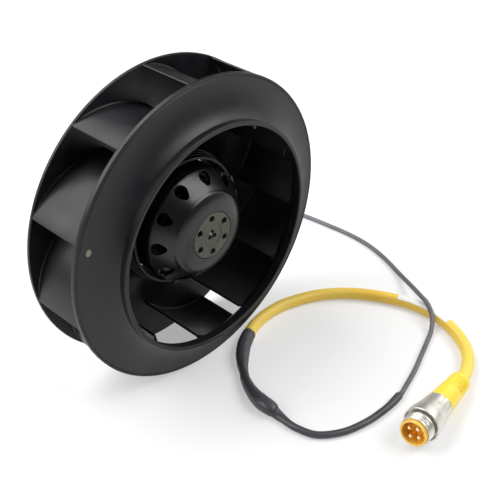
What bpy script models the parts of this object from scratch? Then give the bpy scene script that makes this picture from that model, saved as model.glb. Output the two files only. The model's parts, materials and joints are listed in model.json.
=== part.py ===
"""Plug fan: a backward-curved plastic impeller on an external-rotor motor,
standing on its rim, with its motor lead, splice, supply cable and plug
connector lying on the floor.  Metres, +Z up, air inlet facing -Y.
The origin is under the middle of the fan, where its rim meets the floor."""

import bpy
import bmesh
import numpy as np
from math import acos, asin, atan2, cos, hypot, pi, radians, sin, sqrt, tau
from mathutils import Matrix, Vector
from mathutils.geometry import interpolate_bezier

MM = 0.001

# Fits
GAP = 0.3 * MM                    # between pieces that touch
RUNNING_GAP = 1.5 * MM            # between the turning plate and the motor flange
AIR_GAP = 0.5 * MM                # between the rotor's bars and the stator

# Impeller
RIM_RADIUS = 112.5 * MM
IMPELLER_DEPTH = 48.9 * MM        # front of the inlet ring's rim to the back of the plate
RIM_BAND = 3.8 * MM
SHROUD_WALL = 2.8 * MM
EYE_RADIUS = 81.6 * MM
LIP_WALL = 3.2 * MM
LIP_ROOT = 9.6 * MM               # where the eye lip starts, in front of the rim
EYE_STAND = 15.2 * MM             # front of the eye lip, in front of the rim
FLARE_TURN = radians(65)          # how far the shroud turns from radial to axial
PLATE_WALL = 2.6 * MM
EDGE_CHAMFER = 0.4 * MM
BOWL_CLEARANCE = 5.0 * MM         # the plate starts to rise this far inside the blades
BOWL_TOP_STAND = 2.3 * MM         # top of that rise, outside the collar
COLLAR_FOOT_DEPTH = 32.0 * MM
COLLAR_CLEARANCE = 3.3 * MM       # between the rotor can and the collar
COLLAR_WALL = 2.1 * MM
COLLAR_DEPTH = 19.8 * MM          # front edge of the collar, behind the rim
COLLAR_BAND = 3.2 * MM
SEAT_DEPTH = 33.0 * MM
SEAT_THICKNESS = 3.0 * MM

# Blades
BLADE_COUNT = 11
BLADE_PHASE = radians(62.6)       # trailing edge of the first blade
BLADE_END = 0.1 * MM              # the blades stop this far inside the rim
BLADE_WALL = 1.8 * MM
BLADE_BEND = 68.0 * MM            # radius of the blade's arc
BLADE_EXIT = radians(16)          # blade to the rim's tangent, at the trailing edge
BLADE_INNER = 79.0 * MM           # leading edge

# Rotor bell
BELL_FACE = 6.6 * MM              # front face, in front of the rim
BELL_SHOULDER = 31.4 * MM
BELL_SHOULDER_STAND = 1.4 * MM
BELL_CONE_TOP = 32.2 * MM
BELL_WALL = 2.0 * MM
BELL_DEPTH = 11.0 * MM            # back edge, behind the rim
WINDOW_COUNT = 11
WINDOW_PHASE = radians(79.7)
WINDOW_WIDE = 4.1 * MM            # radius of each window's rear end
WINDOW_NARROW = 2.0 * MM
WINDOW_LENGTH = 10.0 * MM
WINDOW_MARGIN = 0.9 * MM          # between the window and the bell's back edge

# Hub insert and shaft
INSERT_RADIUS = 17.3 * MM
INSERT_FACE_WALL = 3.3 * MM
INSERT_FLANGE = 20.5 * MM
INSERT_FLANGE_WALL = 2.1 * MM
INSERT_RECESS_RADIUS = 8.7 * MM
INSERT_RECESS = 0.4 * MM
INSERT_WEB = 1.8 * MM
INSERT_HOLE_COUNT = 6
INSERT_HOLE_CIRCLE = 13.3 * MM
INSERT_HOLE_RADIUS = 2.4 * MM
INSERT_BOSS = 6.1 * MM
LOBE_COUNT = 3
LOBE_CIRCLE = 2.5 * MM
LOBE_RADIUS = 1.7 * MM
SHAFT_RADIUS = 4.0 * MM

# Rotor can, bars and rings
CAN_RADIUS = 42.3 * MM
CAN_WALL = 1.3 * MM
CAN_LIP = 3.3 * MM                # width of the lip turned in at the front
CAN_LIP_WALL = 1.7 * MM
CAN_MARGIN = 4.4 * MM             # from its open back end to the motor flange
ROTOR_CORE_WALL = 6.8 * MM
RING_WALL = 5.7 * MM
RING_FRONT_WIDTH = 3.0 * MM
RING_BACK_WIDTH = 2.4 * MM

# Stator
CORE_FRONT = 20.0 * MM
CORE_MARGIN = 8.4 * MM            # from its back to the front of the motor flange
SLOT_COUNT = 12
SLOT_OPENING = 3.0 * MM
SLOT_FLOOR = 6.0 * MM
SLOT_DEPTH = 11.0 * MM
INSULATOR_WALL = 1.2 * MM
INSULATOR_MARGIN = 0.6 * MM
WINDING_INNER = 16.5 * MM
WINDING_OUTER = 31.5 * MM
WINDING_FRONT = 5.6 * MM
WINDING_BACK = 7.7 * MM
WINDING_ROUND = 2.0 * MM

# Bearings
BEARING_WIDTH = 7.0 * MM
BEARING_OUTER = 11.0 * MM
BEARING_OUTER_WALL = 2.2 * MM
BEARING_INNER_WALL = 1.9 * MM
BALL_WIDTH = 4.0 * MM
FRONT_BEARING_DEPTH = 13.0 * MM   # its front face, behind the rim
BACK_BEARING_INSET = 2.6 * MM     # its front face, behind the front of the motor flange
SPRING_WIDTH = 1.0 * MM
SPRING_WALL = 1.1 * MM
CIRCLIP_WIDTH = 1.0 * MM
CIRCLIP_RADIUS = 5.8 * MM
COVER_WIDTH = 2.0 * MM

# Motor flange
FLANGE_STAND = 16.0 * MM          # mounting face, behind the plate
FLANGE_RADIUS = 46.0 * MM
FLANGE_FLOOR = 4.4 * MM
SKIRT_WALL = 3.5 * MM
TUBE_WALL = 2.7 * MM
TUBE_SHOULDER = 1.7 * MM
TUBE_LEAD_IN = 0.6 * MM
MOUNT_HOLE_COUNT = 4
MOUNT_HOLE_CIRCLE = 34.0 * MM     # radius of the hole circle
MOUNT_HOLE_RADIUS = 2.1 * MM      # tapping size for an M5 screw
PROTECTOR_SIZE = (9.0 * MM, 5.0 * MM, 3.0 * MM)
PROTECTOR_ROUND = 0.6 * MM
PROTECTOR_CIRCLE = 24.0 * MM
PROTECTOR_ANGLE = radians(135)

# Balance clips
CLIP_ANGLES = (radians(18), radians(-105))
CLIP_WALL = 0.6 * MM
CLIP_LEG = 4.0 * MM
CLIP_WIDTH = 6.0 * MM

# Lead grommet
LEAD_ANGLE = radians(-45)
LEAD_RADIUS = 1.9 * MM
LEAD_INSET = 5.6 * MM             # the lead's hole, behind the front of the motor flange
LEAD_INSIDE = 36.0 * MM           # the lead's inner end, from the fan's axis
GROMMET_NECK = 3.3 * MM
GROMMET_INNER_LIP = 4.2 * MM
GROMMET_OUTER_LIP = 5.6 * MM
GROMMET_LIP_WALL = 1.8 * MM
GROMMET_TAIL_ROOT = 4.4 * MM
GROMMET_TAIL_TIP = 2.9 * MM
GROMMET_TAIL = 21.0 * MM

# Cord
SLEEVE_RADIUS = 2.6 * MM
CABLE_RADIUS = 4.75 * MM
CABLE_STRAIGHT = 2.5 * MM         # straight stretch behind the connector
CORD_END = 2.0 * MM               # straight stretch at each joint of the cord
CORD_SPACING = 10.0 * MM          # between the rings of a cord

# Connector, measured along its own axis from the back of its boot
CONNECTOR_HEADING = radians(186.7)
CONNECTOR_TILT = radians(6.6)
BOOT_TAIL = 6.8 * MM
BOOT_FRONT = 10.0 * MM
BOOT_LENGTH = 36.0 * MM
BOOT_ROUND = 1.2 * MM
NUT_BARREL = 10.5 * MM
NUT_BARREL_LENGTH = 10.2 * MM
NUT_FLARE_LENGTH = 9.0 * MM
NUT_FLANGE = 13.3 * MM
NUT_FLANGE_LENGTH = 8.0 * MM
NUT_CHAMFER = 0.8 * MM
THREAD_RADIUS = 11.1 * MM         # 7/8 inch thread
THREAD_LENGTH = 9.4 * MM
NUT_BACK_BORE = 8.4 * MM
NUT_FRONT_BORE = 10.1 * MM
NUT_FLUTES = 10
FLUTE_RADIUS = 1.4 * MM
FLUTE_DEPTH = 0.5 * MM
CARRIER_HEAD = 10.0 * MM
CARRIER_HEAD_LENGTH = 1.9 * MM
CARRIER_RECESS = 8.4 * MM
CARRIER_RECESS_DEPTH = 8.0 * MM
PIN_COUNT = 4
PIN_CIRCLE = 4.45 * MM
PIN_PHASE = radians(62.7)
PIN_RADIUS = 1.3 * MM
PIN_SEAT = 6.0 * MM
PIN_SHORTFALL = 1.0 * MM          # the pins end this far behind the carrier's face
PIN_TIP = 0.5 * MM

# Facets
RIM_STEPS = 44
BELL_STEPS = 44
CAN_STEPS = 36
MOTOR_STEPS = 30
SMALL_STEPS = 16
NUT_STEPS = 24

# Places that follow from the sizes above
FAN_DEPTH = EYE_STAND + IMPELLER_DEPTH + FLANGE_STAND
RIM_FRONT = EYE_STAND - FAN_DEPTH / 2
LIP_OUTER = EYE_RADIUS + LIP_WALL
COLLAR_RADIUS = CAN_RADIUS + COLLAR_CLEARANCE + COLLAR_WALL
COLLAR_FOOT = COLLAR_RADIUS + BOWL_TOP_STAND
CONE_FOOT = BLADE_INNER - BOWL_CLEARANCE
PLATE_FACE = IMPELLER_DEPTH - PLATE_WALL
FLANGE_BACK = IMPELLER_DEPTH + FLANGE_STAND
FLANGE_FRONT = IMPELLER_DEPTH + RUNNING_GAP
CORE_BACK = FLANGE_FRONT - CORE_MARGIN
CAN_DEPTH = FLANGE_FRONT - CAN_MARGIN
BACK_BEARING_DEPTH = FLANGE_FRONT + BACK_BEARING_INSET
LEAD_STATION = FLANGE_FRONT + LEAD_INSET
CAN_FRONT = BELL_DEPTH + GAP
BELL_RADIUS = CAN_RADIUS + GAP
ROTOR_CORE_OUTER = CAN_RADIUS - CAN_WALL - GAP
ROTOR_CORE_INNER = ROTOR_CORE_OUTER - ROTOR_CORE_WALL
STATOR_RADIUS = ROTOR_CORE_INNER - AIR_GAP
FLAT_SAG = RIM_RADIUS * (1 - cos(pi / RIM_STEPS))
BEARING_SEAT = BEARING_OUTER + GAP
TUBE_RADIUS = BEARING_SEAT + TUBE_WALL
BEARING_BORE = SHAFT_RADIUS + GAP
NUT_LENGTH = NUT_BARREL_LENGTH + NUT_FLARE_LENGTH + NUT_FLANGE_LENGTH + THREAD_LENGTH
NUT_START = BOOT_LENGTH + GAP
CONNECTOR_LENGTH = NUT_START + NUT_LENGTH + GAP + CARRIER_HEAD_LENGTH

# The cord's route on the floor, from the motor to the connector's boot.
# The first points follow the grommet; these come after it.
LEAD_POINTS = [
    (0.0575, 0.0320, 0.0500), (0.0640, 0.0345, 0.0345), (0.0698, 0.0385, 0.0205),
    (0.0770, 0.0435, 0.0100), (0.0880, 0.0500, 0.0038), (0.1020, 0.0575, 0.0020),
    (0.1200, 0.0665, 0.0020), (0.1380, 0.0745, 0.0020), (0.1550, 0.0790, 0.0020),
    (0.1710, 0.0770, 0.0020), (0.1835, 0.0680, 0.0020), (0.1900, 0.0565, 0.0020),
    (0.1930, 0.0420, 0.0020), (0.1956, 0.0173, 0.0020), (0.1970, -0.0057, 0.0020),
    (0.1950, -0.0286, 0.0020), (0.1885, -0.0510, 0.0020), (0.1785, -0.0730, 0.0028),
    (0.1665, -0.0930, 0.0074), (0.1560, -0.1085, 0.0118), (0.1505, -0.1190, 0.0123),
    (0.1436, -0.1286, 0.0080), (0.1340, -0.1345, 0.0032), (0.1210, -0.1393, 0.0020),
    (0.1060, -0.1446, 0.0020), (0.0890, -0.1505, 0.0020), (0.0660, -0.1567, 0.0024),
]
SLEEVE_POINTS = [
    (0.0618, -0.1575, 0.0027), (0.0434, -0.1585, 0.0027), (0.0222, -0.1562, 0.0027),
    (0.0034, -0.1497, 0.0027), (-0.0100, -0.1388, 0.0027), (-0.0148, -0.1240, 0.0027),
    (-0.0147, -0.1115, 0.0027),
]
SPLICE_POINTS = [
    (-0.0145, -0.1052, 0.0034), (-0.0151, -0.0985, 0.0051), (-0.0147, -0.0905, 0.0053),
    (-0.0110, -0.0785, 0.0046), (-0.0042, -0.0659, 0.0038), (0.0037, -0.0560, 0.0042),
    (0.0111, -0.0485, 0.0051), (0.0188, -0.0423, 0.0054), (0.0262, -0.0379, 0.0054),
]
CABLE_POINTS = [
    (0.0335, -0.0344, 0.0052), (0.0430, -0.0308, 0.0049), (0.0560, -0.0286, 0.0048),
    (0.0700, -0.0290, 0.0048), (0.0840, -0.0321, 0.0048), (0.1068, -0.0425, 0.0048),
    (0.1265, -0.0598, 0.0048), (0.1413, -0.0825, 0.0048), (0.1498, -0.1050, 0.0048),
    (0.1513, -0.1255, 0.0048), (0.1470, -0.1440, 0.0048), (0.1375, -0.1615, 0.0048),
    (0.1262, -0.1726, 0.0050), (0.1134, -0.1796, 0.0056),
]
BOOT_TAIL_POINT = (0.09917, -0.18344, 0.00692)


for old in list(bpy.data.objects):
    bpy.data.objects.remove(old, do_unlink=True)

PARTS = bpy.data.collections.new("plug_fan")
CUTTERS = bpy.data.collections.new("cutters")
bpy.context.scene.collection.children.link(PARTS)
bpy.context.scene.collection.children.link(CUTTERS)


def finish(name, colour, roughness, metallic=0.0):
    """A Principled material from a linear colour."""
    made = bpy.data.materials.new(name)
    made.use_nodes = True
    shader = made.node_tree.nodes["Principled BSDF"]
    shader.inputs["Base Color"].default_value = (*colour, 1.0)
    shader.inputs["Roughness"].default_value = roughness
    shader.inputs["Metallic"].default_value = metallic
    made.diffuse_color = (*colour, 1.0)
    return made


BLACK_NYLON = finish("black_glass_filled_nylon", (0.017, 0.017, 0.019), 0.42)
BLACK_PAINT = finish("black_painted_steel", (0.020, 0.020, 0.022), 0.35)
DIE_CAST = finish("die_cast_aluminium", (0.40, 0.41, 0.38), 0.50, 0.8)
GREEN_CAST = finish("passivated_casting", (0.24, 0.25, 0.20), 0.55, 0.3)
STEEL = finish("ground_steel", (0.55, 0.55, 0.56), 0.30, 1.0)
ELECTRICAL_STEEL = finish("electrical_steel", (0.22, 0.22, 0.24), 0.45, 0.9)
COPPER = finish("enamelled_copper", (0.50, 0.17, 0.06), 0.35, 0.8)
INSULATOR = finish("insulating_polyester", (0.30, 0.27, 0.20), 0.60)
RUBBER = finish("black_rubber", (0.015, 0.015, 0.015), 0.70)
LEAD_JACKET = finish("black_pvc_jacket", (0.030, 0.030, 0.034), 0.50)
SHRINK = finish("black_heat_shrink", (0.022, 0.022, 0.024), 0.45)
YELLOW_JACKET = finish("yellow_pvc_jacket", (0.82, 0.56, 0.12), 0.45)
YELLOW_BOOT = finish("yellow_moulded_pvc", (0.90, 0.64, 0.05), 0.45)
NICKEL = finish("nickel_plated_brass", (0.66, 0.64, 0.60), 0.28, 1.0)
AMBER = finish("amber_contact_carrier", (0.72, 0.33, 0.02), 0.35)
GOLD = finish("gold_plated_pin", (0.90, 0.72, 0.35), 0.25, 1.0)


def axis_empty(name, parent=None, location=(0, 0, 0), rotation=(0, 0, 0)):
    """An empty that holds an axis; its local Z is the axis."""
    empty = bpy.data.objects.new(name, None)
    empty.location = location
    empty.rotation_euler = rotation
    empty.parent = parent
    PARTS.objects.link(empty)
    return empty


def place(name, data, material, parent, location=(0, 0, 0), rotation=(0, 0, 0)):
    """Put a mesh or curve into the object's collection."""
    made = bpy.data.objects.new(name, data)
    made.location = location
    made.rotation_euler = rotation
    made.parent = parent
    data.materials.append(material)
    PARTS.objects.link(made)
    return made


def outline_mesh(name, outline, closed=True):
    """Vertices and edges of a (radius, height) outline in the XZ plane."""
    mesh = bpy.data.meshes.new(name)
    edges = [(i, i + 1) for i in range(len(outline) - 1)]
    if closed:
        edges.append((len(outline) - 1, 0))
    mesh.from_pydata([(radius, 0.0, height) for radius, height in outline], edges, [])
    return mesh


def add_screw(made, steps):
    """Turn the object's outline once round its local Z."""
    screw = made.modifiers.new("turn", "SCREW")
    screw.axis = "Z"
    screw.angle = tau
    screw.steps = steps
    screw.render_steps = steps
    screw.use_merge_vertices = True
    screw.merge_threshold = 0.00001
    screw.use_smooth_shade = True


def turned(name, outline, material, parent, steps, location=(0, 0, 0), rotation=(0, 0, 0)):
    """A ring or a solid turned round its parent's local Z from a (radius, height) outline."""
    closed = min(radius for radius, height in outline) > 0
    made = place(name, outline_mesh(name, outline, closed), material, parent, location, rotation)
    add_screw(made, steps)
    return made


def ring_outline(outer, inner, top, bottom):
    return [(outer, top), (outer, bottom), (inner, bottom), (inner, top)]


def ring(name, outer, inner, front, back, material, parent, steps):
    """A plain ring; front and back are depths behind the rim."""
    return turned(name, ring_outline(outer, inner, -front, -back), material, parent, steps)


def prism_mesh(name, outlines, half_thickness):
    """A flat shape from closed outlines in XY, extruded both ways along Z, as a welded mesh."""
    curve = bpy.data.curves.new(name, "CURVE")
    curve.dimensions = "2D"
    curve.fill_mode = "BOTH"
    curve.extrude = half_thickness
    for outline in outlines:
        spline = curve.splines.new("POLY")
        spline.points.add(len(outline) - 1)
        for point, (x, y) in zip(spline.points, outline):
            point.co = (x, y, 0.0, 1.0)
        spline.use_cyclic_u = True
    holder = bpy.data.objects.new(name, curve)
    CUTTERS.objects.link(holder)
    bpy.context.view_layer.update()
    evaluated = holder.evaluated_get(bpy.context.evaluated_depsgraph_get())
    mesh = bpy.data.meshes.new_from_object(evaluated)
    bpy.data.objects.remove(holder)
    shape = bmesh.new()
    shape.from_mesh(mesh)
    bmesh.ops.remove_doubles(shape, verts=shape.verts, dist=0.000001)
    bmesh.ops.recalc_face_normals(shape, faces=shape.faces)
    shape.to_mesh(mesh)
    shape.free()
    return mesh


def cylinder_mesh(name, radius, length, steps, top_radius=None):
    """A capped cylinder or cone round Z, centred on its origin."""
    mesh = bpy.data.meshes.new(name)
    shape = bmesh.new()
    bmesh.ops.create_cone(
        shape,
        cap_ends=True,
        segments=steps,
        radius1=radius,
        radius2=radius if top_radius is None else top_radius,
        depth=length,
    )
    shape.to_mesh(mesh)
    shape.free()
    return mesh


def cutter_group(name):
    group = bpy.data.collections.new(name)
    CUTTERS.children.link(group)
    return group


def cutter(name, mesh, group, parent, location=(0, 0, 0), rotation=(0, 0, 0)):
    """A shape that is only subtracted from others."""
    made = bpy.data.objects.new(name, mesh)
    made.location = location
    made.rotation_euler = rotation
    made.parent = parent
    made.hide_render = True
    made.display_type = "WIRE"
    group.objects.link(made)
    return made


def cut(made, group):
    """Subtract every cutter of a group."""
    boolean = made.modifiers.new("cut", "BOOLEAN")
    boolean.operation = "DIFFERENCE"
    boolean.solver = "EXACT"
    boolean.operand_type = "COLLECTION"
    boolean.collection = group


def arc_points(start, reach, rise, turn, count):
    """A quarter-ellipse stretch: it leaves start radially inward and turns to the front."""
    return [
        (start[0] - reach * sin(turn * i / count), start[1] + rise * (1 - cos(turn * i / count)))
        for i in range(count + 1)
    ]


def offset_back(points, wall):
    """The same stretch, moved by the wall's thickness towards the back."""
    moved = []
    for i, (radius, height) in enumerate(points):
        before = points[max(i - 1, 0)]
        after = points[min(i + 1, len(points) - 1)]
        along = Vector((after[0] - before[0], after[1] - before[1])).normalized()
        moved.append((radius - along.y * wall, height + along.x * wall))
    return moved


# Inlet ring: a trumpet from the rim to the eye, with a thin upright lip round the eye
def shroud_faces():
    """Front and back faces of the trumpet, from the rim to the lip."""
    reach = (RIM_RADIUS - LIP_OUTER) / sin(FLARE_TURN)
    rise = LIP_ROOT / (1 - cos(FLARE_TURN))
    front = arc_points((RIM_RADIUS, 0.0), reach, rise, FLARE_TURN, 5)
    back = offset_back(front, SHROUD_WALL)
    back[0] = (RIM_RADIUS, -RIM_BAND)
    return front, back


def build_inlet_ring(fan):
    front, back = shroud_faces()
    lip_back = EYE_STAND - EDGE_CHAMFER
    outline = [(RIM_RADIUS, -EDGE_CHAMFER)]
    outline += back
    outline += [
        (EYE_RADIUS, LIP_ROOT),
        (EYE_RADIUS, lip_back),
        (EYE_RADIUS + EDGE_CHAMFER, EYE_STAND),
        (LIP_OUTER - EDGE_CHAMFER, EYE_STAND),
        (LIP_OUTER, lip_back),
    ]
    outline += front[:0:-1]
    outline.append((RIM_RADIUS - EDGE_CHAMFER, 0.0))
    return turned("inlet_ring", outline, BLACK_NYLON, fan, RIM_STEPS)


# Back plate: flat under the blades, then a bowl that rises to a collar round the rotor
def build_back_plate(fan):
    rise = PLATE_FACE - COLLAR_FOOT_DEPTH
    bowl = arc_points((CONE_FOOT, -PLATE_FACE), CONE_FOOT - COLLAR_FOOT, rise, pi / 2, 4)
    inside = [
        point
        for point in offset_back(bowl, PLATE_WALL)
        if point[1] < -(SEAT_DEPTH + SEAT_THICKNESS + EDGE_CHAMFER)
    ]
    seat_back = SEAT_DEPTH + SEAT_THICKNESS
    collar_inner = COLLAR_RADIUS - COLLAR_WALL
    outline = [
        (RIM_RADIUS, -PLATE_FACE),
        (RIM_RADIUS, -IMPELLER_DEPTH + EDGE_CHAMFER),
        (RIM_RADIUS - EDGE_CHAMFER, -IMPELLER_DEPTH),
    ]
    outline += inside
    outline += [
        (collar_inner + COLLAR_WALL, -seat_back),
        (CAN_RADIUS + GAP, -seat_back),
        (CAN_RADIUS + GAP, -SEAT_DEPTH),
        (collar_inner, -SEAT_DEPTH),
        (collar_inner, -COLLAR_DEPTH),
        (COLLAR_RADIUS - EDGE_CHAMFER, -COLLAR_DEPTH),
        (COLLAR_RADIUS, -COLLAR_DEPTH - EDGE_CHAMFER),
        (COLLAR_RADIUS, -COLLAR_DEPTH - COLLAR_BAND),
    ]
    outline += bowl[::-1]
    return turned("back_plate", outline, BLACK_NYLON, fan, RIM_STEPS)


# Blades: arcs that lean back from the rim, between the plate and the shroud
def blade_angle(radius):
    """Angle from the trailing edge to where the blade's arc crosses a radius."""
    centre = Vector((RIM_RADIUS - BLADE_BEND * cos(BLADE_EXIT), BLADE_BEND * sin(BLADE_EXIT)))
    reach = centre.length
    along = (radius**2 - BLADE_BEND**2 + reach**2) / (2 * reach)
    across = sqrt(radius**2 - along**2)
    return atan2(centre.y, centre.x) - atan2(across, along)


def shroud_back_height(radius):
    """Height of the shroud's back face at a radius; level inside the throat."""
    back = sorted(shroud_faces()[1])
    radii = [point[0] for point in back]
    heights = [point[1] for point in back]
    return float(np.interp(radius, radii, heights))


def blade_stations():
    """Radii at which the blade has a section: the shroud's own corners and the ends."""
    back = [radius for radius, height in shroud_faces()[1]]
    tip = RIM_RADIUS - BLADE_WALL / 2 - BLADE_END
    return [BLADE_INNER] + [radius for radius in back[::-1] if radius < tip] + [tip]


def blade_mesh():
    """One blade, lofted through its stations from the leading to the trailing edge."""
    shape = bmesh.new()
    rows = []
    for radius in blade_stations():
        middle = blade_angle(radius)
        ahead = blade_angle(radius * 0.999)
        tangent = Vector((
            radius * cos(middle) - radius * 0.999 * cos(ahead),
            radius * sin(middle) - radius * 0.999 * sin(ahead),
        )).normalized()
        side = Vector((-tangent.y, tangent.x)) * BLADE_WALL / 2
        top = shroud_back_height(radius + BLADE_WALL / 2 + FLAT_SAG) - GAP
        bottom = -PLATE_FACE + GAP
        base = Vector((radius * cos(middle), radius * sin(middle)))
        row = []
        for point, height in ((base + side, top), (base - side, top),
                              (base - side, bottom), (base + side, bottom)):
            row.append(shape.verts.new((point.x, point.y, height)))
        rows.append(row)
    for near, far in zip(rows, rows[1:]):
        for i in range(4):
            j = (i + 1) % 4
            shape.faces.new((near[i], near[j], far[j], far[i]))
    shape.faces.new(rows[0][::-1])
    shape.faces.new(rows[-1])
    bmesh.ops.recalc_face_normals(shape, faces=shape.faces)
    mesh = bpy.data.meshes.new("blade")
    shape.to_mesh(mesh)
    shape.free()
    return mesh


def build_blades(fan):
    mesh = blade_mesh()
    mesh.materials.append(BLACK_NYLON)
    for i in range(BLADE_COUNT):
        made = bpy.data.objects.new(f"blade_{i + 1:02d}", mesh)
        made.rotation_euler = (0, 0, BLADE_PHASE + i * tau / BLADE_COUNT)
        made.parent = fan
        PARTS.objects.link(made)


# Rotor bell: a shallow disc with a windowed cone behind it
def window_outline():
    """Tear-drop in the cone's own plane; +X runs to the bell's back edge."""
    wide_at = WINDOW_LENGTH / 2 - WINDOW_WIDE
    narrow_at = WINDOW_NARROW - WINDOW_LENGTH / 2
    lean = asin((WINDOW_WIDE - WINDOW_NARROW) / (wide_at - narrow_at))
    side = pi / 2 + lean
    outline = []
    for i in range(7):
        turn = -side + 2 * side * i / 6
        outline.append((wide_at + WINDOW_WIDE * cos(turn), WINDOW_WIDE * sin(turn)))
    for i in range(4):
        turn = side + 2 * (pi - side) * i / 3
        outline.append((narrow_at + WINDOW_NARROW * cos(turn), WINDOW_NARROW * sin(turn)))
    return outline


def bell_outline():
    foot = BELL_RADIUS - BELL_CONE_TOP
    slope = hypot(foot, BELL_DEPTH)
    inner_foot = BELL_RADIUS - BELL_WALL * slope / BELL_DEPTH
    inner_shoulder = BELL_SHOULDER - BELL_WALL
    lip = INSERT_RADIUS + GAP
    seat = BELL_FACE - INSERT_FACE_WALL + GAP
    drop = (BELL_FACE - BELL_SHOULDER_STAND) / 3
    run = (BELL_SHOULDER - lip) / 3
    return [
        (lip, BELL_FACE - EDGE_CHAMFER),
        (lip + EDGE_CHAMFER, BELL_FACE),
        (lip + run, BELL_FACE - drop * 0.55),
        (lip + 2 * run, BELL_FACE - drop * 1.35),
        (lip + 2.6 * run, BELL_FACE - drop * 2.1),
        (BELL_SHOULDER, BELL_SHOULDER_STAND),
        (BELL_CONE_TOP, 0.0),
        (BELL_RADIUS, -BELL_DEPTH),
        (inner_foot, -BELL_DEPTH),
        (inner_shoulder, -BELL_WALL / 3),
        (inner_shoulder - BELL_WALL, BELL_SHOULDER_STAND),
        (INSERT_FLANGE + GAP, seat),
        (lip, seat),
    ]


def build_rotor_bell(fan):
    bell = turned("rotor_bell", bell_outline(), BLACK_PAINT, fan, BELL_STEPS)
    windows = cutter_group("window_cutters")
    mesh = prism_mesh("window_cutter", [window_outline()], 3 * BELL_WALL)
    foot = BELL_RADIUS - BELL_CONE_TOP
    slope = atan2(BELL_DEPTH, foot)
    back = WINDOW_MARGIN + WINDOW_LENGTH / 2
    centre = BELL_RADIUS - back * cos(slope)
    depth = BELL_DEPTH - back * sin(slope)
    for i in range(WINDOW_COUNT):
        turn = WINDOW_PHASE + i * tau / WINDOW_COUNT
        spoke = axis_empty(f"window_axis_{i + 1}", fan, rotation=(0, 0, turn))
        cutter(f"window_cutter_{i + 1}", mesh, windows, spoke, (centre, 0, -depth), (0, slope, 0))
    cut(bell, windows)
    return bell


# Hub insert: the cast plate that joins the bell to the shaft
def build_hub_insert(fan):
    flange_top = BELL_FACE - INSERT_FACE_WALL
    flange_bottom = flange_top - INSERT_FLANGE_WALL
    web_top = BELL_FACE - INSERT_RECESS
    boss_end = -(FRONT_BEARING_DEPTH - GAP)
    outline = [
        (INSERT_RADIUS - EDGE_CHAMFER, BELL_FACE),
        (INSERT_RADIUS, BELL_FACE - EDGE_CHAMFER),
        (INSERT_RADIUS, flange_top),
        (INSERT_FLANGE, flange_top),
        (INSERT_FLANGE, flange_bottom),
        (INSERT_RECESS_RADIUS, flange_bottom),
        (INSERT_BOSS, boss_end),
        (BEARING_BORE, boss_end),
        (BEARING_BORE, web_top - INSERT_WEB),
        (LOBE_CIRCLE, web_top - INSERT_WEB),
        (LOBE_CIRCLE, web_top),
        (INSERT_RECESS_RADIUS, web_top),
        (INSERT_RECESS_RADIUS, BELL_FACE),
    ]
    insert = turned("hub_insert", outline, GREEN_CAST, fan, MOTOR_STEPS)
    holes = cutter_group("insert_cutters")
    hole = cylinder_mesh("insert_hole", INSERT_HOLE_RADIUS, 4 * INSERT_FACE_WALL, 8)
    for i in range(INSERT_HOLE_COUNT):
        turn = (i + 0.5) * tau / INSERT_HOLE_COUNT
        spot = (INSERT_HOLE_CIRCLE * cos(turn), INSERT_HOLE_CIRCLE * sin(turn), flange_top)
        cutter(f"insert_hole_{i + 1}", hole, holes, fan, spot)
    lobe = cylinder_mesh("insert_lobe", LOBE_RADIUS, 2 * INSERT_WEB, 8)
    for i in range(LOBE_COUNT):
        turn = pi / 2 + i * tau / LOBE_COUNT
        spot = (LOBE_CIRCLE * cos(turn), LOBE_CIRCLE * sin(turn), web_top)
        cutter(f"insert_lobe_{i + 1}", lobe, holes, fan, spot)
    cut(insert, holes)
    return insert


# Rotor: shaft, can, laminated ring and the two cast rings that join its bars
def build_rotor(fan):
    shaft_front = BELL_FACE - INSERT_RECESS - INSERT_WEB - GAP
    shaft_back = -(BACK_BEARING_DEPTH + BEARING_WIDTH + CIRCLIP_WIDTH + 2 * GAP)
    shaft = [
        (0.0, shaft_front),
        (SHAFT_RADIUS - EDGE_CHAMFER, shaft_front),
        (SHAFT_RADIUS, shaft_front - EDGE_CHAMFER),
        (SHAFT_RADIUS, shaft_back + EDGE_CHAMFER),
        (SHAFT_RADIUS - EDGE_CHAMFER, shaft_back),
        (0.0, shaft_back),
    ]
    turned("rotor_shaft", shaft, STEEL, fan, SMALL_STEPS)
    can_inner = CAN_RADIUS - CAN_WALL
    can = [
        (CAN_RADIUS, -CAN_FRONT),
        (CAN_RADIUS, -CAN_DEPTH),
        (can_inner, -CAN_DEPTH),
        (can_inner, -CAN_FRONT - CAN_LIP_WALL),
        (CAN_RADIUS - CAN_LIP, -CAN_FRONT - CAN_LIP_WALL),
        (CAN_RADIUS - CAN_LIP, -CAN_FRONT),
    ]
    turned("rotor_can", can, BLACK_PAINT, fan, CAN_STEPS)
    ring("rotor_core", ROTOR_CORE_OUTER, ROTOR_CORE_INNER, CORE_FRONT, CORE_BACK,
         ELECTRICAL_STEEL, fan, MOTOR_STEPS)
    ring_inner = ROTOR_CORE_OUTER - RING_WALL
    front_ring = CORE_FRONT - GAP
    ring("cage_ring_front", ROTOR_CORE_OUTER, ring_inner, front_ring - RING_FRONT_WIDTH,
         front_ring, DIE_CAST, fan, MOTOR_STEPS)
    back_ring = CORE_BACK + GAP
    ring("cage_ring_back", ROTOR_CORE_OUTER, ring_inner, back_ring,
         back_ring + RING_BACK_WIDTH, DIE_CAST, fan, MOTOR_STEPS)


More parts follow.
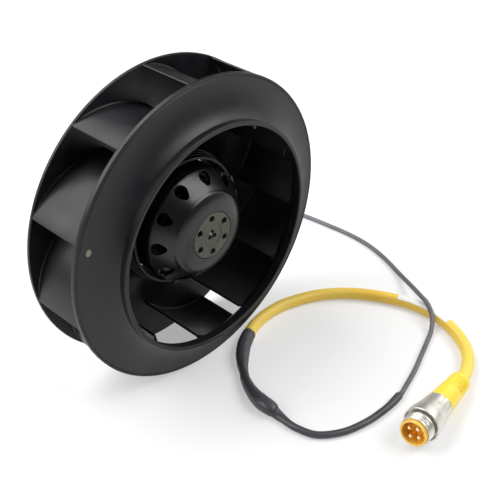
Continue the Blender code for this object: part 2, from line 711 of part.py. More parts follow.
# Bearings: the inner ring and the balls turn with the shaft, the outer ring stays
def build_bearing(name, fan, depth):
    back = depth + BEARING_WIDTH
    inner_outer = BEARING_BORE + BEARING_INNER_WALL
    outer_inner = BEARING_OUTER - BEARING_OUTER_WALL
    ball_front = depth + (BEARING_WIDTH - BALL_WIDTH) / 2
    ring(f"{name}_inner_ring", inner_outer, BEARING_BORE, depth, back, STEEL, fan, SMALL_STEPS)
    ring(f"{name}_balls", outer_inner - GAP, inner_outer + GAP, ball_front,
         ball_front + BALL_WIDTH, STEEL, fan, SMALL_STEPS)
    ring(f"{name}_outer_ring", BEARING_OUTER, outer_inner, depth, back, STEEL, fan, SMALL_STEPS)


def build_shaft_fittings(fan):
    """Preload spring, retaining ring and cover, from the inside out."""
    spring_back = BACK_BEARING_DEPTH - GAP
    ring("preload_spring", BEARING_OUTER, BEARING_OUTER - SPRING_WALL,
         spring_back - SPRING_WIDTH, spring_back, STEEL, fan, SMALL_STEPS)
    clip_front = BACK_BEARING_DEPTH + BEARING_WIDTH + GAP
    ring("shaft_circlip", CIRCLIP_RADIUS, BEARING_BORE, clip_front,
         clip_front + CIRCLIP_WIDTH, STEEL, fan, SMALL_STEPS)
    cover_back = -FLANGE_BACK + EDGE_CHAMFER
    cover = [
        (0.0, cover_back + COVER_WIDTH),
        (BEARING_OUTER, cover_back + COVER_WIDTH),
        (BEARING_OUTER, cover_back),
        (0.0, cover_back),
    ]
    turned("bearing_cover", cover, STEEL, fan, SMALL_STEPS)


# Stator: slotted core, insulators and the two coil heads
def core_outline():
    """Outside of the stator core, with its slots."""
    outline = []
    floor = STATOR_RADIUS - SLOT_DEPTH
    pitch = tau / SLOT_COUNT
    for i in range(SLOT_COUNT):
        middle = i * pitch
        mouth = asin(SLOT_OPENING / 2 / STATOR_RADIUS)
        bottom = asin(SLOT_FLOOR / 2 / floor)
        corners = (
            (STATOR_RADIUS, -mouth), (floor, -bottom), (floor, bottom), (STATOR_RADIUS, mouth),
            (STATOR_RADIUS, pitch / 3), (STATOR_RADIUS, pitch * 2 / 3),
        )
        for radius, turn in corners:
            outline.append((radius * cos(middle + turn), radius * sin(middle + turn)))
    return outline


def circle_outline(radius, steps):
    return [(radius * cos(tau * i / steps), radius * sin(tau * i / steps)) for i in range(steps)]


def build_stator(fan):
    bore = TUBE_RADIUS + GAP
    outlines = [core_outline(), circle_outline(bore, 24)]
    mesh = prism_mesh("stator_core", outlines, (CORE_BACK - CORE_FRONT) / 2)
    place("stator_core", mesh, ELECTRICAL_STEEL, fan, (0, 0, -(CORE_FRONT + CORE_BACK) / 2))
    plate_outer = STATOR_RADIUS - INSULATOR_MARGIN
    front = CORE_FRONT - GAP - INSULATOR_WALL
    back = CORE_BACK + GAP + INSULATOR_WALL
    ring("insulator_front", plate_outer, bore, front, front + INSULATOR_WALL, INSULATOR, fan,
         MOTOR_STEPS)
    ring("insulator_back", plate_outer, bore, back - INSULATOR_WALL, back, INSULATOR, fan,
         MOTOR_STEPS)
    build_winding("winding_front", fan, front - GAP - WINDING_FRONT, front - GAP)
    build_winding("winding_back", fan, back + GAP, back + GAP + WINDING_BACK)


def build_winding(name, fan, front, back):
    """A coil head: a ring with its edges taken off."""
    corners = (
        (WINDING_OUTER - WINDING_ROUND, -front - WINDING_ROUND, 90),
        (WINDING_OUTER - WINDING_ROUND, -back + WINDING_ROUND, 0),
        (WINDING_INNER + WINDING_ROUND, -back + WINDING_ROUND, -90),
        (WINDING_INNER + WINDING_ROUND, -front - WINDING_ROUND, -180),
    )
    outline = []
    for radius, height, start in corners:
        for step in (0, 90):
            turn = radians(start - step)
            outline.append((radius + WINDING_ROUND * cos(turn), height + WINDING_ROUND * sin(turn)))
    turned(name, outline, COPPER, fan, MOTOR_STEPS)


def build_protector(fan):
    """Thermal protector, tied to the back coil head."""
    mesh = bpy.data.meshes.new("thermal_protector")
    shape = bmesh.new()
    bmesh.ops.create_cube(shape, size=1.0)
    bmesh.ops.scale(shape, vec=PROTECTOR_SIZE, verts=shape.verts)
    shape.to_mesh(mesh)
    shape.free()
    winding_end = CORE_BACK + 2 * GAP + INSULATOR_WALL + WINDING_BACK
    depth = winding_end + GAP + PROTECTOR_SIZE[2] / 2
    spoke = axis_empty("protector_axis", fan, rotation=(0, 0, PROTECTOR_ANGLE))
    made = place("thermal_protector", mesh, INSULATOR, spoke, (PROTECTOR_CIRCLE, 0, -depth))
    bevel = made.modifiers.new("round", "BEVEL")
    bevel.width = PROTECTOR_ROUND
    bevel.segments = 2


# Motor flange: the casting that is screwed down; its tube carries both bearings
def build_flange(fan, lead_axis):
    shoulder = BEARING_SEAT - TUBE_SHOULDER
    tube_front = FRONT_BEARING_DEPTH - TUBE_LEAD_IN
    front_seat = FRONT_BEARING_DEPTH + BEARING_WIDTH + GAP
    back_seat = BACK_BEARING_DEPTH - SPRING_WIDTH - 2 * GAP
    floor = FLANGE_BACK - FLANGE_FLOOR
    outline = [
        (FLANGE_RADIUS, -FLANGE_FRONT),
        (FLANGE_RADIUS, -FLANGE_BACK + EDGE_CHAMFER),
        (FLANGE_RADIUS - EDGE_CHAMFER, -FLANGE_BACK),
        (BEARING_SEAT, -FLANGE_BACK),
        (BEARING_SEAT, -back_seat),
        (shoulder, -back_seat),
        (shoulder, -front_seat),
        (BEARING_SEAT, -front_seat),
        (BEARING_SEAT, -tube_front),
        (TUBE_RADIUS, -tube_front),
        (TUBE_RADIUS, -floor),
        (FLANGE_RADIUS - SKIRT_WALL, -floor),
        (FLANGE_RADIUS - SKIRT_WALL, -FLANGE_FRONT),
    ]
    flange = turned("motor_flange", outline, DIE_CAST, fan, CAN_STEPS)
    holes = cutter_group("flange_cutters")
    hole = cylinder_mesh("mount_hole", MOUNT_HOLE_RADIUS, 3 * FLANGE_FLOOR, 10)
    for i in range(MOUNT_HOLE_COUNT):
        turn = i * tau / MOUNT_HOLE_COUNT
        spot = (MOUNT_HOLE_CIRCLE * cos(turn), MOUNT_HOLE_CIRCLE * sin(turn), -FLANGE_BACK)
        cutter(f"mount_hole_{i + 1}", hole, holes, fan, spot)
    exit_hole = cylinder_mesh("lead_hole", GROMMET_NECK + GAP, 3 * SKIRT_WALL, 12)
    cutter("lead_hole", exit_hole, holes, lead_axis, (0, 0, FLANGE_RADIUS))
    cut(flange, holes)
    return flange


# Lead grommet: it grips the flange's skirt, and its tail eases the lead's bend
def build_grommet(lead_axis):
    outside = FLANGE_RADIUS + GAP
    inside = FLANGE_RADIUS - SKIRT_WALL - GAP
    bore = LEAD_RADIUS + GAP
    outline = [
        (GROMMET_TAIL_TIP, outside + GROMMET_TAIL),
        (GROMMET_TAIL_ROOT, outside + GROMMET_LIP_WALL),
        (GROMMET_OUTER_LIP, outside + GROMMET_LIP_WALL),
        (GROMMET_OUTER_LIP, outside),
        (GROMMET_NECK, outside),
        (GROMMET_NECK, inside),
        (GROMMET_INNER_LIP, inside),
        (GROMMET_INNER_LIP, inside - GROMMET_LIP_WALL),
        (bore, inside - GROMMET_LIP_WALL),
        (bore, outside + GROMMET_TAIL),
    ]
    return turned("lead_grommet", outline, RUBBER, lead_axis, 12)


# Balance clips: spring steel, pushed over the collar's front edge
def build_clips(fan):
    inner = COLLAR_RADIUS - COLLAR_WALL - GAP
    outer = COLLAR_RADIUS + GAP
    top = -COLLAR_DEPTH + GAP
    tip = top - CLIP_LEG
    outline = [
        (inner - CLIP_WALL, tip), (inner, tip), (inner, top), (outer, top), (outer, tip),
        (outer + CLIP_WALL, tip), (outer + CLIP_WALL, top + CLIP_WALL),
        (inner - CLIP_WALL, top + CLIP_WALL),
    ]
    for i, turn in enumerate(CLIP_ANGLES):
        spoke = axis_empty(f"clip_axis_{i + 1}", fan, rotation=(0, 0, turn))
        mesh = prism_mesh(f"balance_clip_{i + 1}", [outline], CLIP_WIDTH / 2)
        place(f"balance_clip_{i + 1}", mesh, STEEL, spoke, rotation=(pi / 2, 0, 0))


# Cord: one smooth route, cut into the lead, the thin sleeve, the splice and the cable
def smooth(points, spacing):
    """Points about one spacing apart on a smooth curve through the route's points.
    Returns the points and, for each route point, its place in that list."""
    places = [0]
    dense = [Vector(points[0])]
    for i in range(len(points) - 1):
        before = Vector(points[max(i - 1, 0)])
        here = Vector(points[i])
        there = Vector(points[i + 1])
        after = Vector(points[min(i + 2, len(points) - 1)])
        steps = max(1, round((there - here).length / spacing))
        handle_out = here + (there - before) / 6
        handle_in = there - (after - here) / 6
        dense += interpolate_bezier(here, handle_out, handle_in, there, steps + 1)[1:]
        places.append(len(dense) - 1)
    return dense, places


def stretch(dense, first, last):
    """One tube's points; where it meets the next tube, its end is square to the route."""
    points = [point.copy() for point in dense[first:last + 1]]
    if first > 0:
        along = (dense[first + 1] - dense[first - 1]).normalized()
        points[:1] = [points[0] + along * GAP / 2, points[0] + along * CORD_END]
    if last < len(dense) - 1:
        along = (dense[last + 1] - dense[last - 1]).normalized()
        points[-1:] = [points[-1] - along * CORD_END, points[-1] - along * GAP / 2]
    else:
        points[-1] += (points[-2] - points[-1]).normalized() * GAP
    return points


def tube(name, points, radii, material, resolution):
    """A tube along the points; radii holds one radius, or one for each point."""
    curve = bpy.data.curves.new(name, "CURVE")
    curve.dimensions = "3D"
    curve.bevel_resolution = resolution
    curve.bevel_depth = 1.0
    curve.use_fill_caps = True
    curve.resolution_u = 1
    curve.render_resolution_u = 0
    spline = curve.splines.new("POLY")
    spline.points.add(len(points) - 1)
    for i, point in enumerate(points):
        spline.points[i].co = (*point, 1.0)
        spline.points[i].radius = radii[i] if len(radii) > 1 else radii[0]
    return place(name, curve, material, None)


def grommet_points(lead_axis):
    """The lead's straight start, through the grommet."""
    tip = FLANGE_RADIUS + GAP + GROMMET_TAIL
    reaches = (LEAD_INSIDE, FLANGE_RADIUS, (FLANGE_RADIUS + tip) / 2, tip)
    return [lead_axis.matrix_world @ Vector((0, 0, reach)) for reach in reaches]


def build_cord(lead_axis, connector):
    start = grommet_points(lead_axis)
    end = [connector.matrix_world @ Vector((0, 0, reach)) for reach in (-CABLE_STRAIGHT, 0)]
    route = start + LEAD_POINTS + SLEEVE_POINTS + SPLICE_POINTS + CABLE_POINTS + end
    dense, places = smooth(route, CORD_SPACING)
    sleeve_at = places[len(start) + len(LEAD_POINTS)]
    splice_at = places[len(start) + len(LEAD_POINTS) + len(SLEEVE_POINTS)]
    cable_at = places[len(route) - len(CABLE_POINTS) - len(end)]
    lead = stretch(dense, 0, sleeve_at)
    tube("motor_lead", lead, [LEAD_RADIUS], LEAD_JACKET, 2)
    tube("thin_sleeve", stretch(dense, sleeve_at, splice_at), [SLEEVE_RADIUS], SHRINK, 2)
    splice = stretch(dense, splice_at, cable_at)
    tube("splice_sleeve", splice, [point.z for point in splice], SHRINK, 3)
    cable = stretch(dense, cable_at, len(dense) - 1)
    tube("supply_cable", cable, [CABLE_RADIUS], YELLOW_JACKET, 3)


# Connector: moulded boot, turning coupling nut, contact carrier and pins
def build_boot(connector):
    outline = [
        (0.0, BOOT_LENGTH),
        (BOOT_FRONT - EDGE_CHAMFER, BOOT_LENGTH),
        (BOOT_FRONT, BOOT_LENGTH - EDGE_CHAMFER),
        (BOOT_TAIL, BOOT_ROUND),
        (BOOT_TAIL - BOOT_ROUND / 3, BOOT_ROUND / 3),
        (BOOT_TAIL - BOOT_ROUND, 0.0),
        (0.0, 0.0),
    ]
    turned("connector_boot", outline, YELLOW_BOOT, connector, NUT_STEPS)


def build_nut(connector):
    """Heights are measured from the nut's back face, where its object sits."""
    flare = NUT_BARREL_LENGTH
    flange = flare + NUT_FLARE_LENGTH
    neck = flange + NUT_FLANGE_LENGTH
    outline = [
        (THREAD_RADIUS - EDGE_CHAMFER, NUT_LENGTH),
        (THREAD_RADIUS, NUT_LENGTH - EDGE_CHAMFER),
        (THREAD_RADIUS, neck),
        (NUT_FLANGE - NUT_CHAMFER, neck),
        (NUT_FLANGE, neck - NUT_CHAMFER),
        (NUT_FLANGE, flange),
        (NUT_BARREL, flare),
        (NUT_BARREL, EDGE_CHAMFER),
        (NUT_BARREL - EDGE_CHAMFER, 0.0),
        (NUT_BACK_BORE, 0.0),
        (NUT_BACK_BORE, flange),
        (NUT_FRONT_BORE, flange),
        (NUT_FRONT_BORE, NUT_LENGTH),
    ]
    nut = turned("coupling_nut", outline, NICKEL, connector, NUT_STEPS, (0, 0, NUT_START))
    flutes = cutter_group("nut_cutters")
    groove = cylinder_mesh("nut_flute", FLUTE_RADIUS, 2 * NUT_BARREL_LENGTH, 8)
    for i in range(NUT_FLUTES):
        turn = (i + 0.5) * tau / NUT_FLUTES
        reach = NUT_BARREL + FLUTE_RADIUS - FLUTE_DEPTH
        spot = (reach * cos(turn), reach * sin(turn), NUT_START)
        cutter(f"nut_flute_{i + 1}", groove, flutes, connector, spot)
    cut(nut, flutes)
    return nut


def build_carrier(connector):
    """Contact carrier: its stem fills the nut, its head covers the nut's front edge."""
    step = NUT_START + NUT_BARREL_LENGTH + NUT_FLARE_LENGTH + GAP
    head = NUT_START + NUT_LENGTH + GAP
    front = head + CARRIER_HEAD_LENGTH
    floor = front - CARRIER_RECESS_DEPTH
    outline = [
        (CARRIER_HEAD - EDGE_CHAMFER, front),
        (CARRIER_HEAD, front - EDGE_CHAMFER),
        (CARRIER_HEAD, head),
        (NUT_FRONT_BORE - GAP, head),
        (NUT_FRONT_BORE - GAP, step),
        (NUT_BACK_BORE - GAP, step),
        (NUT_BACK_BORE - GAP, NUT_START),
        (0.0, NUT_START),
    ]
    outline = [(0.0, floor), (CARRIER_RECESS, floor), (CARRIER_RECESS, front)] + outline
    carrier = turned("contact_carrier", outline, AMBER, connector, NUT_STEPS)
    seats = cutter_group("carrier_cutters")
    seat = cylinder_mesh("pin_seat", PIN_RADIUS + GAP, 2 * PIN_SEAT, 8)
    pin_length = CARRIER_RECESS_DEPTH - PIN_SHORTFALL + PIN_SEAT - GAP
    pin = [
        (0.0, pin_length),
        (PIN_RADIUS - PIN_TIP, pin_length),
        (PIN_RADIUS, pin_length - PIN_TIP),
        (PIN_RADIUS, 0.0),
        (0.0, 0.0),
    ]
    for i in range(PIN_COUNT):
        turn = PIN_PHASE + i * tau / PIN_COUNT
        x = PIN_CIRCLE * cos(turn)
        y = PIN_CIRCLE * sin(turn)
        cutter(f"pin_seat_{i + 1}", seat, seats, connector, (x, y, floor))
        turned(f"contact_pin_{i + 1}", pin, GOLD, connector, 8,
               (x, y, floor - PIN_SEAT + GAP))
    cut(carrier, seats)
    return carrier


def build_fan():
    fan = axis_empty("fan_axis", location=(0, RIM_FRONT, RIM_RADIUS), rotation=(pi / 2, 0, 0))
    lead_axis = axis_empty("lead_axis", fan, (0, 0, -LEAD_STATION), (0, pi / 2, LEAD_ANGLE))
    build_inlet_ring(fan)
    build_back_plate(fan)
    build_blades(fan)
    build_rotor_bell(fan)
    build_hub_insert(fan)
    build_rotor(fan)
    build_bearing("front_bearing", fan, FRONT_BEARING_DEPTH)
    build_bearing("back_bearing", fan, BACK_BEARING_DEPTH)
    build_shaft_fittings(fan)
    build_stator(fan)
    build_protector(fan)
    build_flange(fan, lead_axis)
    build_grommet(lead_axis)
    build_clips(fan)
    return lead_axis


def build_connector():
    """The connector lies on its nut's flange and its boot's tail."""
    connector = axis_empty(
        "connector_axis",
        location=BOOT_TAIL_POINT,
        rotation=(0, pi / 2 - CONNECTOR_TILT, CONNECTOR_HEADING),
    )
    build_boot(connector)
    build_nut(connector)
    build_carrier(connector)
    return connector


def build_all():
    lead_axis = build_fan()
    connector = build_connector()
    bpy.context.view_layer.update()
    build_cord(lead_axis, connector)
    bpy.context.view_layer.update()


build_all()
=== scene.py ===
import json
from math import asin, atan2, ceil, cos, exp, hypot, pi, radians, sin, sqrt, tan, tau

import bmesh
import bpy
from mathutils import Matrix, Vector
from mathutils.geometry import interpolate_bezier

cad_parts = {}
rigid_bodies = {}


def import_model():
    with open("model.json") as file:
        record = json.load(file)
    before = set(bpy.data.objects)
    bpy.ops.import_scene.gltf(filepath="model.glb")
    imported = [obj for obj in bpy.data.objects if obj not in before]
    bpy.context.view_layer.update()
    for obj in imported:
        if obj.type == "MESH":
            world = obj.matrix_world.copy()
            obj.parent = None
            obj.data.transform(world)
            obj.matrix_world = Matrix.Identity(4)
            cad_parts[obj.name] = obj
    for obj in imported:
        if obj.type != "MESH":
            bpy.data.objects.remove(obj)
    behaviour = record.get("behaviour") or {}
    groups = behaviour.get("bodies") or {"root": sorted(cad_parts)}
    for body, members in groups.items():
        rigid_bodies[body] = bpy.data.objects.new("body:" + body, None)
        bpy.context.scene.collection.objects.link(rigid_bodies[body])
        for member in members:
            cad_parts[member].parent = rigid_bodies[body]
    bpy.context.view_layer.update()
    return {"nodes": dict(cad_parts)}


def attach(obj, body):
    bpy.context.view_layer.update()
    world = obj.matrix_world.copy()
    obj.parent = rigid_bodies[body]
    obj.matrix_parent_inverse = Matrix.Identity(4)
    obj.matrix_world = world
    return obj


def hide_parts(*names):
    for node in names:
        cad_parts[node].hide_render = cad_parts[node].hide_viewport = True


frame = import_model()
nodes = frame["nodes"]


# Camera
# A level camera a little over half a metre away, looking down at the fan from its inlet side.
CAMERA_PLACE = (-0.3524, -0.3994, 0.4631)
CAMERA_AIM = (0.5920, 0.5590, -0.5806)
SENSOR_WIDTH = 36
LENS = 64.8
CLIP_START = 0.01

camera_data = bpy.data.cameras.new("camera")
camera_data.sensor_width = SENSOR_WIDTH
camera_data.lens = LENS
camera_data.clip_start = CLIP_START
camera = bpy.data.objects.new("camera", camera_data)
camera.location = CAMERA_PLACE
camera.rotation_euler = Vector(CAMERA_AIM).to_track_quat("-Z", "Y").to_euler()
bpy.context.collection.objects.link(camera)
bpy.context.scene.camera = camera
bpy.context.scene.view_settings.view_transform = "Standard"


# Motor lead
# A three-core lead from the motor: stranded copper in one thin black PVC jacket, extruded
# round.  It leaves the motor flange through its grommet, drops to the floor, runs round the
# wheel, crosses the supply cable on a low hump and ends inside the splice.
MM = 0.001
LEAD_DIAMETER = 0.0038
LEAD_SPACING = 2.5 * MM           # between the points along its route
LEAD_START = [
    (0.0254558, 0.03115, 0.0870442), (0.0325269, 0.03115, 0.0799731),
    (0.0400576, 0.03115, 0.0724424), (0.0475883, 0.03115, 0.0649117),
]
LEAD_POINTS = [
    (0.0575, 0.0320, 0.0500), (0.0640, 0.0345, 0.0345), (0.0698, 0.0385, 0.0205),
    (0.0770, 0.0435, 0.0100), (0.0880, 0.0500, 0.0038), (0.1020, 0.0575, 0.0020),
    (0.1200, 0.0665, 0.0020), (0.1380, 0.0745, 0.0020), (0.1550, 0.0790, 0.0020),
    (0.1710, 0.0770, 0.0020), (0.1835, 0.0680, 0.0020), (0.1900, 0.0565, 0.0020),
    (0.1930, 0.0420, 0.0020), (0.1956, 0.0173, 0.0020), (0.1970, -0.0057, 0.0020),
    (0.1950, -0.0286, 0.0020), (0.1885, -0.0510, 0.0020), (0.1785, -0.0730, 0.0028),
    (0.1665, -0.0930, 0.0074), (0.1560, -0.1085, 0.0118), (0.1505, -0.1190, 0.0123),
    (0.1436, -0.1286, 0.0080), (0.1340, -0.1345, 0.0032), (0.1210, -0.1393, 0.0020),
    (0.1060, -0.1446, 0.0020), (0.0890, -0.1505, 0.0020), (0.0660, -0.1567, 0.0024),
]
SLEEVE_POINTS = [
    (0.0618, -0.1575, 0.0027), (0.0434, -0.1585, 0.0027), (0.0222, -0.1562, 0.0027),
    (0.0034, -0.1497, 0.0027), (-0.0100, -0.1388, 0.0027), (-0.0148, -0.1240, 0.0027),
    (-0.0147, -0.1115, 0.0027),
]
SPLICE_POINTS = [
    (-0.0145, -0.1052, 0.0034), (-0.0151, -0.0985, 0.0051), (-0.0147, -0.0905, 0.0053),
    (-0.0110, -0.0785, 0.0046), (-0.0042, -0.0659, 0.0038), (0.0037, -0.0560, 0.0042),
    (0.0111, -0.0485, 0.0051), (0.0188, -0.0423, 0.0054), (0.0262, -0.0379, 0.0054),
]
CABLE_POINTS = [
    (0.0335, -0.0344, 0.0052), (0.0430, -0.0308, 0.0049), (0.0560, -0.0286, 0.0048),
    (0.0700, -0.0290, 0.0048), (0.0840, -0.0321, 0.0048), (0.1068, -0.0425, 0.0048),
    (0.1265, -0.0598, 0.0048), (0.1413, -0.0825, 0.0048), (0.1498, -0.1050, 0.0048),
    (0.1513, -0.1255, 0.0048), (0.1470, -0.1440, 0.0048), (0.1375, -0.1615, 0.0048),
    (0.1262, -0.1726, 0.0050), (0.1134, -0.1796, 0.0056),
    (0.10164, -0.18315, 0.00663), (0.09917, -0.18344, 0.00692),
]


def smooth(points, spacing):
    """Points about one spacing apart on a smooth curve through the route's points,
    and the place of each route point in that list."""
    places = [0]
    dense = [Vector(points[0])]
    for i in range(len(points) - 1):
        before = Vector(points[max(i - 1, 0)])
        here = Vector(points[i])
        there = Vector(points[i + 1])
        after = Vector(points[min(i + 2, len(points) - 1)])
        steps = max(1, round((there - here).length / spacing))
        handle_out = here + (there - before) / 6
        handle_in = there - (after - here) / 6
        dense += interpolate_bezier(here, handle_out, handle_in, there, steps + 1)[1:]
        places.append(len(dense) - 1)
    return dense, places


def path_length(points):
    return sum((b - a).length for a, b in zip(points, points[1:]))


def linear(hex_colour):
    """An sRGB hex colour as linear RGBA."""
    channels = []
    for i in (1, 3, 5):
        value = int(hex_colour[i:i + 2], 16) / 255
        channels.append(value / 12.92 if value <= 0.04045 else ((value + 0.055) / 1.055) ** 2.4)
    return (*channels, 1.0)


def add(tree, kind, settings=None, inputs=None):
    """Add a node with its settings; an input is set to a value or linked to a socket."""
    node = tree.nodes.new(kind)
    for key, value in (settings or {}).items():
        setattr(node, key, value)
    for key, value in (inputs or {}).items():
        if isinstance(value, bpy.types.NodeSocket):
            tree.links.new(value, node.inputs[key])
        else:
            node.inputs[key].default_value = value
    return node


def finish(name, roughness, metallic=0.0, ior=1.5):
    """A new material with its typical values; returns it, its tree and its shader."""
    made = bpy.data.materials.new(name)
    made.use_nodes = True
    shader = made.node_tree.nodes["Principled BSDF"]
    shader.inputs["Roughness"].default_value = roughness
    shader.inputs["Metallic"].default_value = metallic
    shader.inputs["IOR"].default_value = ior
    return made, made.node_tree, shader


def grain(tree, shader, pitch_mm, depth_mm, low, high, detail=3):
    """Fine surface grain: bumps pitch_mm apart, and a roughness that wanders with them."""
    where = add(tree, "ShaderNodeTexCoord")
    fine = add(tree, "ShaderNodeTexNoise", {}, {
        "Vector": where.outputs["Object"], "Scale": 1000 / pitch_mm, "Detail": detail,
    })
    broad = add(tree, "ShaderNodeTexNoise", {}, {
        "Vector": where.outputs["Object"], "Scale": 1000 / (pitch_mm * 22), "Detail": 4,
    })
    bump = add(tree, "ShaderNodeBump", {}, {
        "Height": fine.outputs["Fac"], "Distance": depth_mm * MM, "Strength": 1.0,
    })
    spread = add(tree, "ShaderNodeMapRange", {}, {
        "Value": broad.outputs["Fac"], "From Min": 0.3, "From Max": 0.7,
        "To Min": low, "To Max": high,
    })
    tree.links.new(bump.outputs["Normal"], shader.inputs["Normal"])
    tree.links.new(spread.outputs["Result"], shader.inputs["Roughness"])
    return where, fine, broad


def shade(tree, shader, factor, dark, light, low=0.3, high=0.7):
    """Colour that wanders from dark to light with a noise factor."""
    spread = add(tree, "ShaderNodeMapRange", {}, {
        "Value": factor, "From Min": low, "From Max": high,
    })
    mix = add(tree, "ShaderNodeMix", {"data_type": "RGBA"}, {
        0: spread.outputs["Result"], 6: linear(dark), 7: linear(light),
    })
    tree.links.new(mix.outputs[2], shader.inputs["Base Color"])


def surface(name, roughness, grain_mm, spread, colours, detail=3, **typical):
    """A material with a (pitch, depth) grain; roughness and colour wander between two values."""
    made, tree, shader = finish(name, roughness, **typical)
    _, _, broad = grain(tree, shader, *grain_mm, *spread, detail)
    shade(tree, shader, broad.outputs["Fac"], *colours)
    return made


def tube(name, points, radius, material, resolution=8):
    """A round jacket along the points."""
    curve = bpy.data.curves.new(name, "CURVE")
    curve.dimensions = "3D"
    curve.bevel_depth = radius
    curve.bevel_resolution = resolution
    curve.use_fill_caps = True
    curve.materials.append(material)
    spline = curve.splines.new("POLY")
    spline.points.add(len(points) - 1)
    for spot, point in zip(spline.points, points):
        spot.co = (*point, 1.0)
    made = bpy.data.objects.new(name, curve)
    bpy.context.collection.objects.link(made)
    return made


# Extruded PVC: a satin, faintly uneven black, its colour painted grey as a painted sheen of broad
# light.
lead_pvc = surface(
    "black_pvc_extruded", 0.48, (0.9, 0.012), (0.40, 0.56), ("#58585e", "#6e6e75"), ior=1.53
)

lead_route, lead_places = smooth(
    LEAD_START + LEAD_POINTS + SLEEVE_POINTS + SPLICE_POINTS[:5], LEAD_SPACING
)
lead = tube("motor_lead_jacket", lead_route, LEAD_DIAMETER / 2, lead_pvc, 6)
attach(lead, "motor_base")
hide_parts("motor_lead")


# Thin sleeve
# Black heat-shrink tube over the end of the lead, cut square and shrunk until it hugs the
# jacket; its cut end stays a little open and rounded, and it carries the lead into the splice.
def frames(points):
    """Each point of a path that lies on the floor, with its sideways and upward directions."""
    result = []
    for i, point in enumerate(points):
        along = (points[min(i + 1, len(points) - 1)] - points[max(i - 1, 0)]).normalized()
        side = along.cross(Vector((0, 0, 1))).normalized()
        result.append((point, side, side.cross(along).normalized()))
    return result


def finished(name, shape, material, sharp=35):
    """A mesh object from a bmesh, smooth but for edges sharper than the given angle."""
    mesh = bpy.data.meshes.new(name)
    bmesh.ops.recalc_face_normals(shape, faces=shape.faces)
    shape.to_mesh(mesh)
    shape.free()
    mesh.materials.append(material)
    mesh.shade_smooth()
    mesh.set_sharp_from_angle(angle=radians(sharp))
    made = bpy.data.objects.new(name, mesh)
    bpy.context.collection.objects.link(made)
    modifier = made.modifiers.new("flat faces stay flat", "WEIGHTED_NORMAL")
    modifier.keep_sharp = True
    return made


def loft(rings):
    """A closed bmesh through rings of points."""
    shape = bmesh.new()
    rows = [[shape.verts.new(point) for point in ring] for ring in rings]
    count = len(rows[0])
    for near, far in zip(rows, rows[1:]):
        for i in range(count):
            j = (i + 1) % count
            shape.faces.new((near[i], near[j], far[j], far[i]))
    shape.faces.new(rows[0][::-1])
    shape.faces.new(rows[-1])
    return shape


def blob(value, centre, width):
    """A smooth bump of height 1 at the centre."""
    return exp(-((value - centre) / width) ** 2)


# Heat-shrink polyolefin: smoother than the jacket, with fine creases along the tube.
shrink_film = surface(
    "black_heat_shrink_polyolefin", 0.42, (2.4, 0.10), (0.34, 0.52), ("#333338", "#4c4c53"),
    4, ior=1.51
)

SLEEVE_RADIUS = 2.6 * MM
SLEEVE_SIDES = 32
SLEEVE_SPACING = 0.8 * MM
SLEEVE_NOSE = 3.2 * MM            # its rounded cut end
SLEEVE_LOOSE = 15 * MM            # the stretch that is shrunk less, behind the cut end
SLEEVE_SPREAD = 9 * MM            # where it widens towards the splice
sleeve_points, sleeve_places = smooth(
    LEAD_POINTS[-2:] + SLEEVE_POINTS + SPLICE_POINTS[:2], SLEEVE_SPACING
)
rings = []
travel = 0.0
sleeve_points = sleeve_points[sleeve_places[2]:sleeve_places[-2] + 3]
sleeve_total = path_length(sleeve_points)
for i, (point, side, up) in enumerate(frames(sleeve_points)):
    travel += 0 if i == 0 else (point - sleeve_points[i - 1]).length
    swell = 1 + 0.18 / (1 + exp((travel - SLEEVE_LOOSE) / (SLEEVE_LOOSE / 5)))
    swell += 0.65 * blob(travel, sleeve_total, SLEEVE_SPREAD)
    if travel < SLEEVE_NOSE:
        swell *= max(0.62, sqrt(1 - (1 - travel / SLEEVE_NOSE) ** 2))
    ring = []
    for k in range(SLEEVE_SIDES):
        turn = tau * k / SLEEVE_SIDES
        crease = 1 + 0.018 * sin(3 * turn + travel * 170) + 0.012 * sin(5 * turn - travel * 310)
        reach = SLEEVE_RADIUS * swell * crease
        offset = side * cos(turn) * reach + up * sin(turn) * min(reach, point.z * 0.99)
        ring.append(point + offset)
    rings.append(ring)
sleeve = finished("thin_shrink_sleeve", loft(rings), shrink_film, 50)
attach(sleeve, "motor_base")
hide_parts("thin_sleeve")


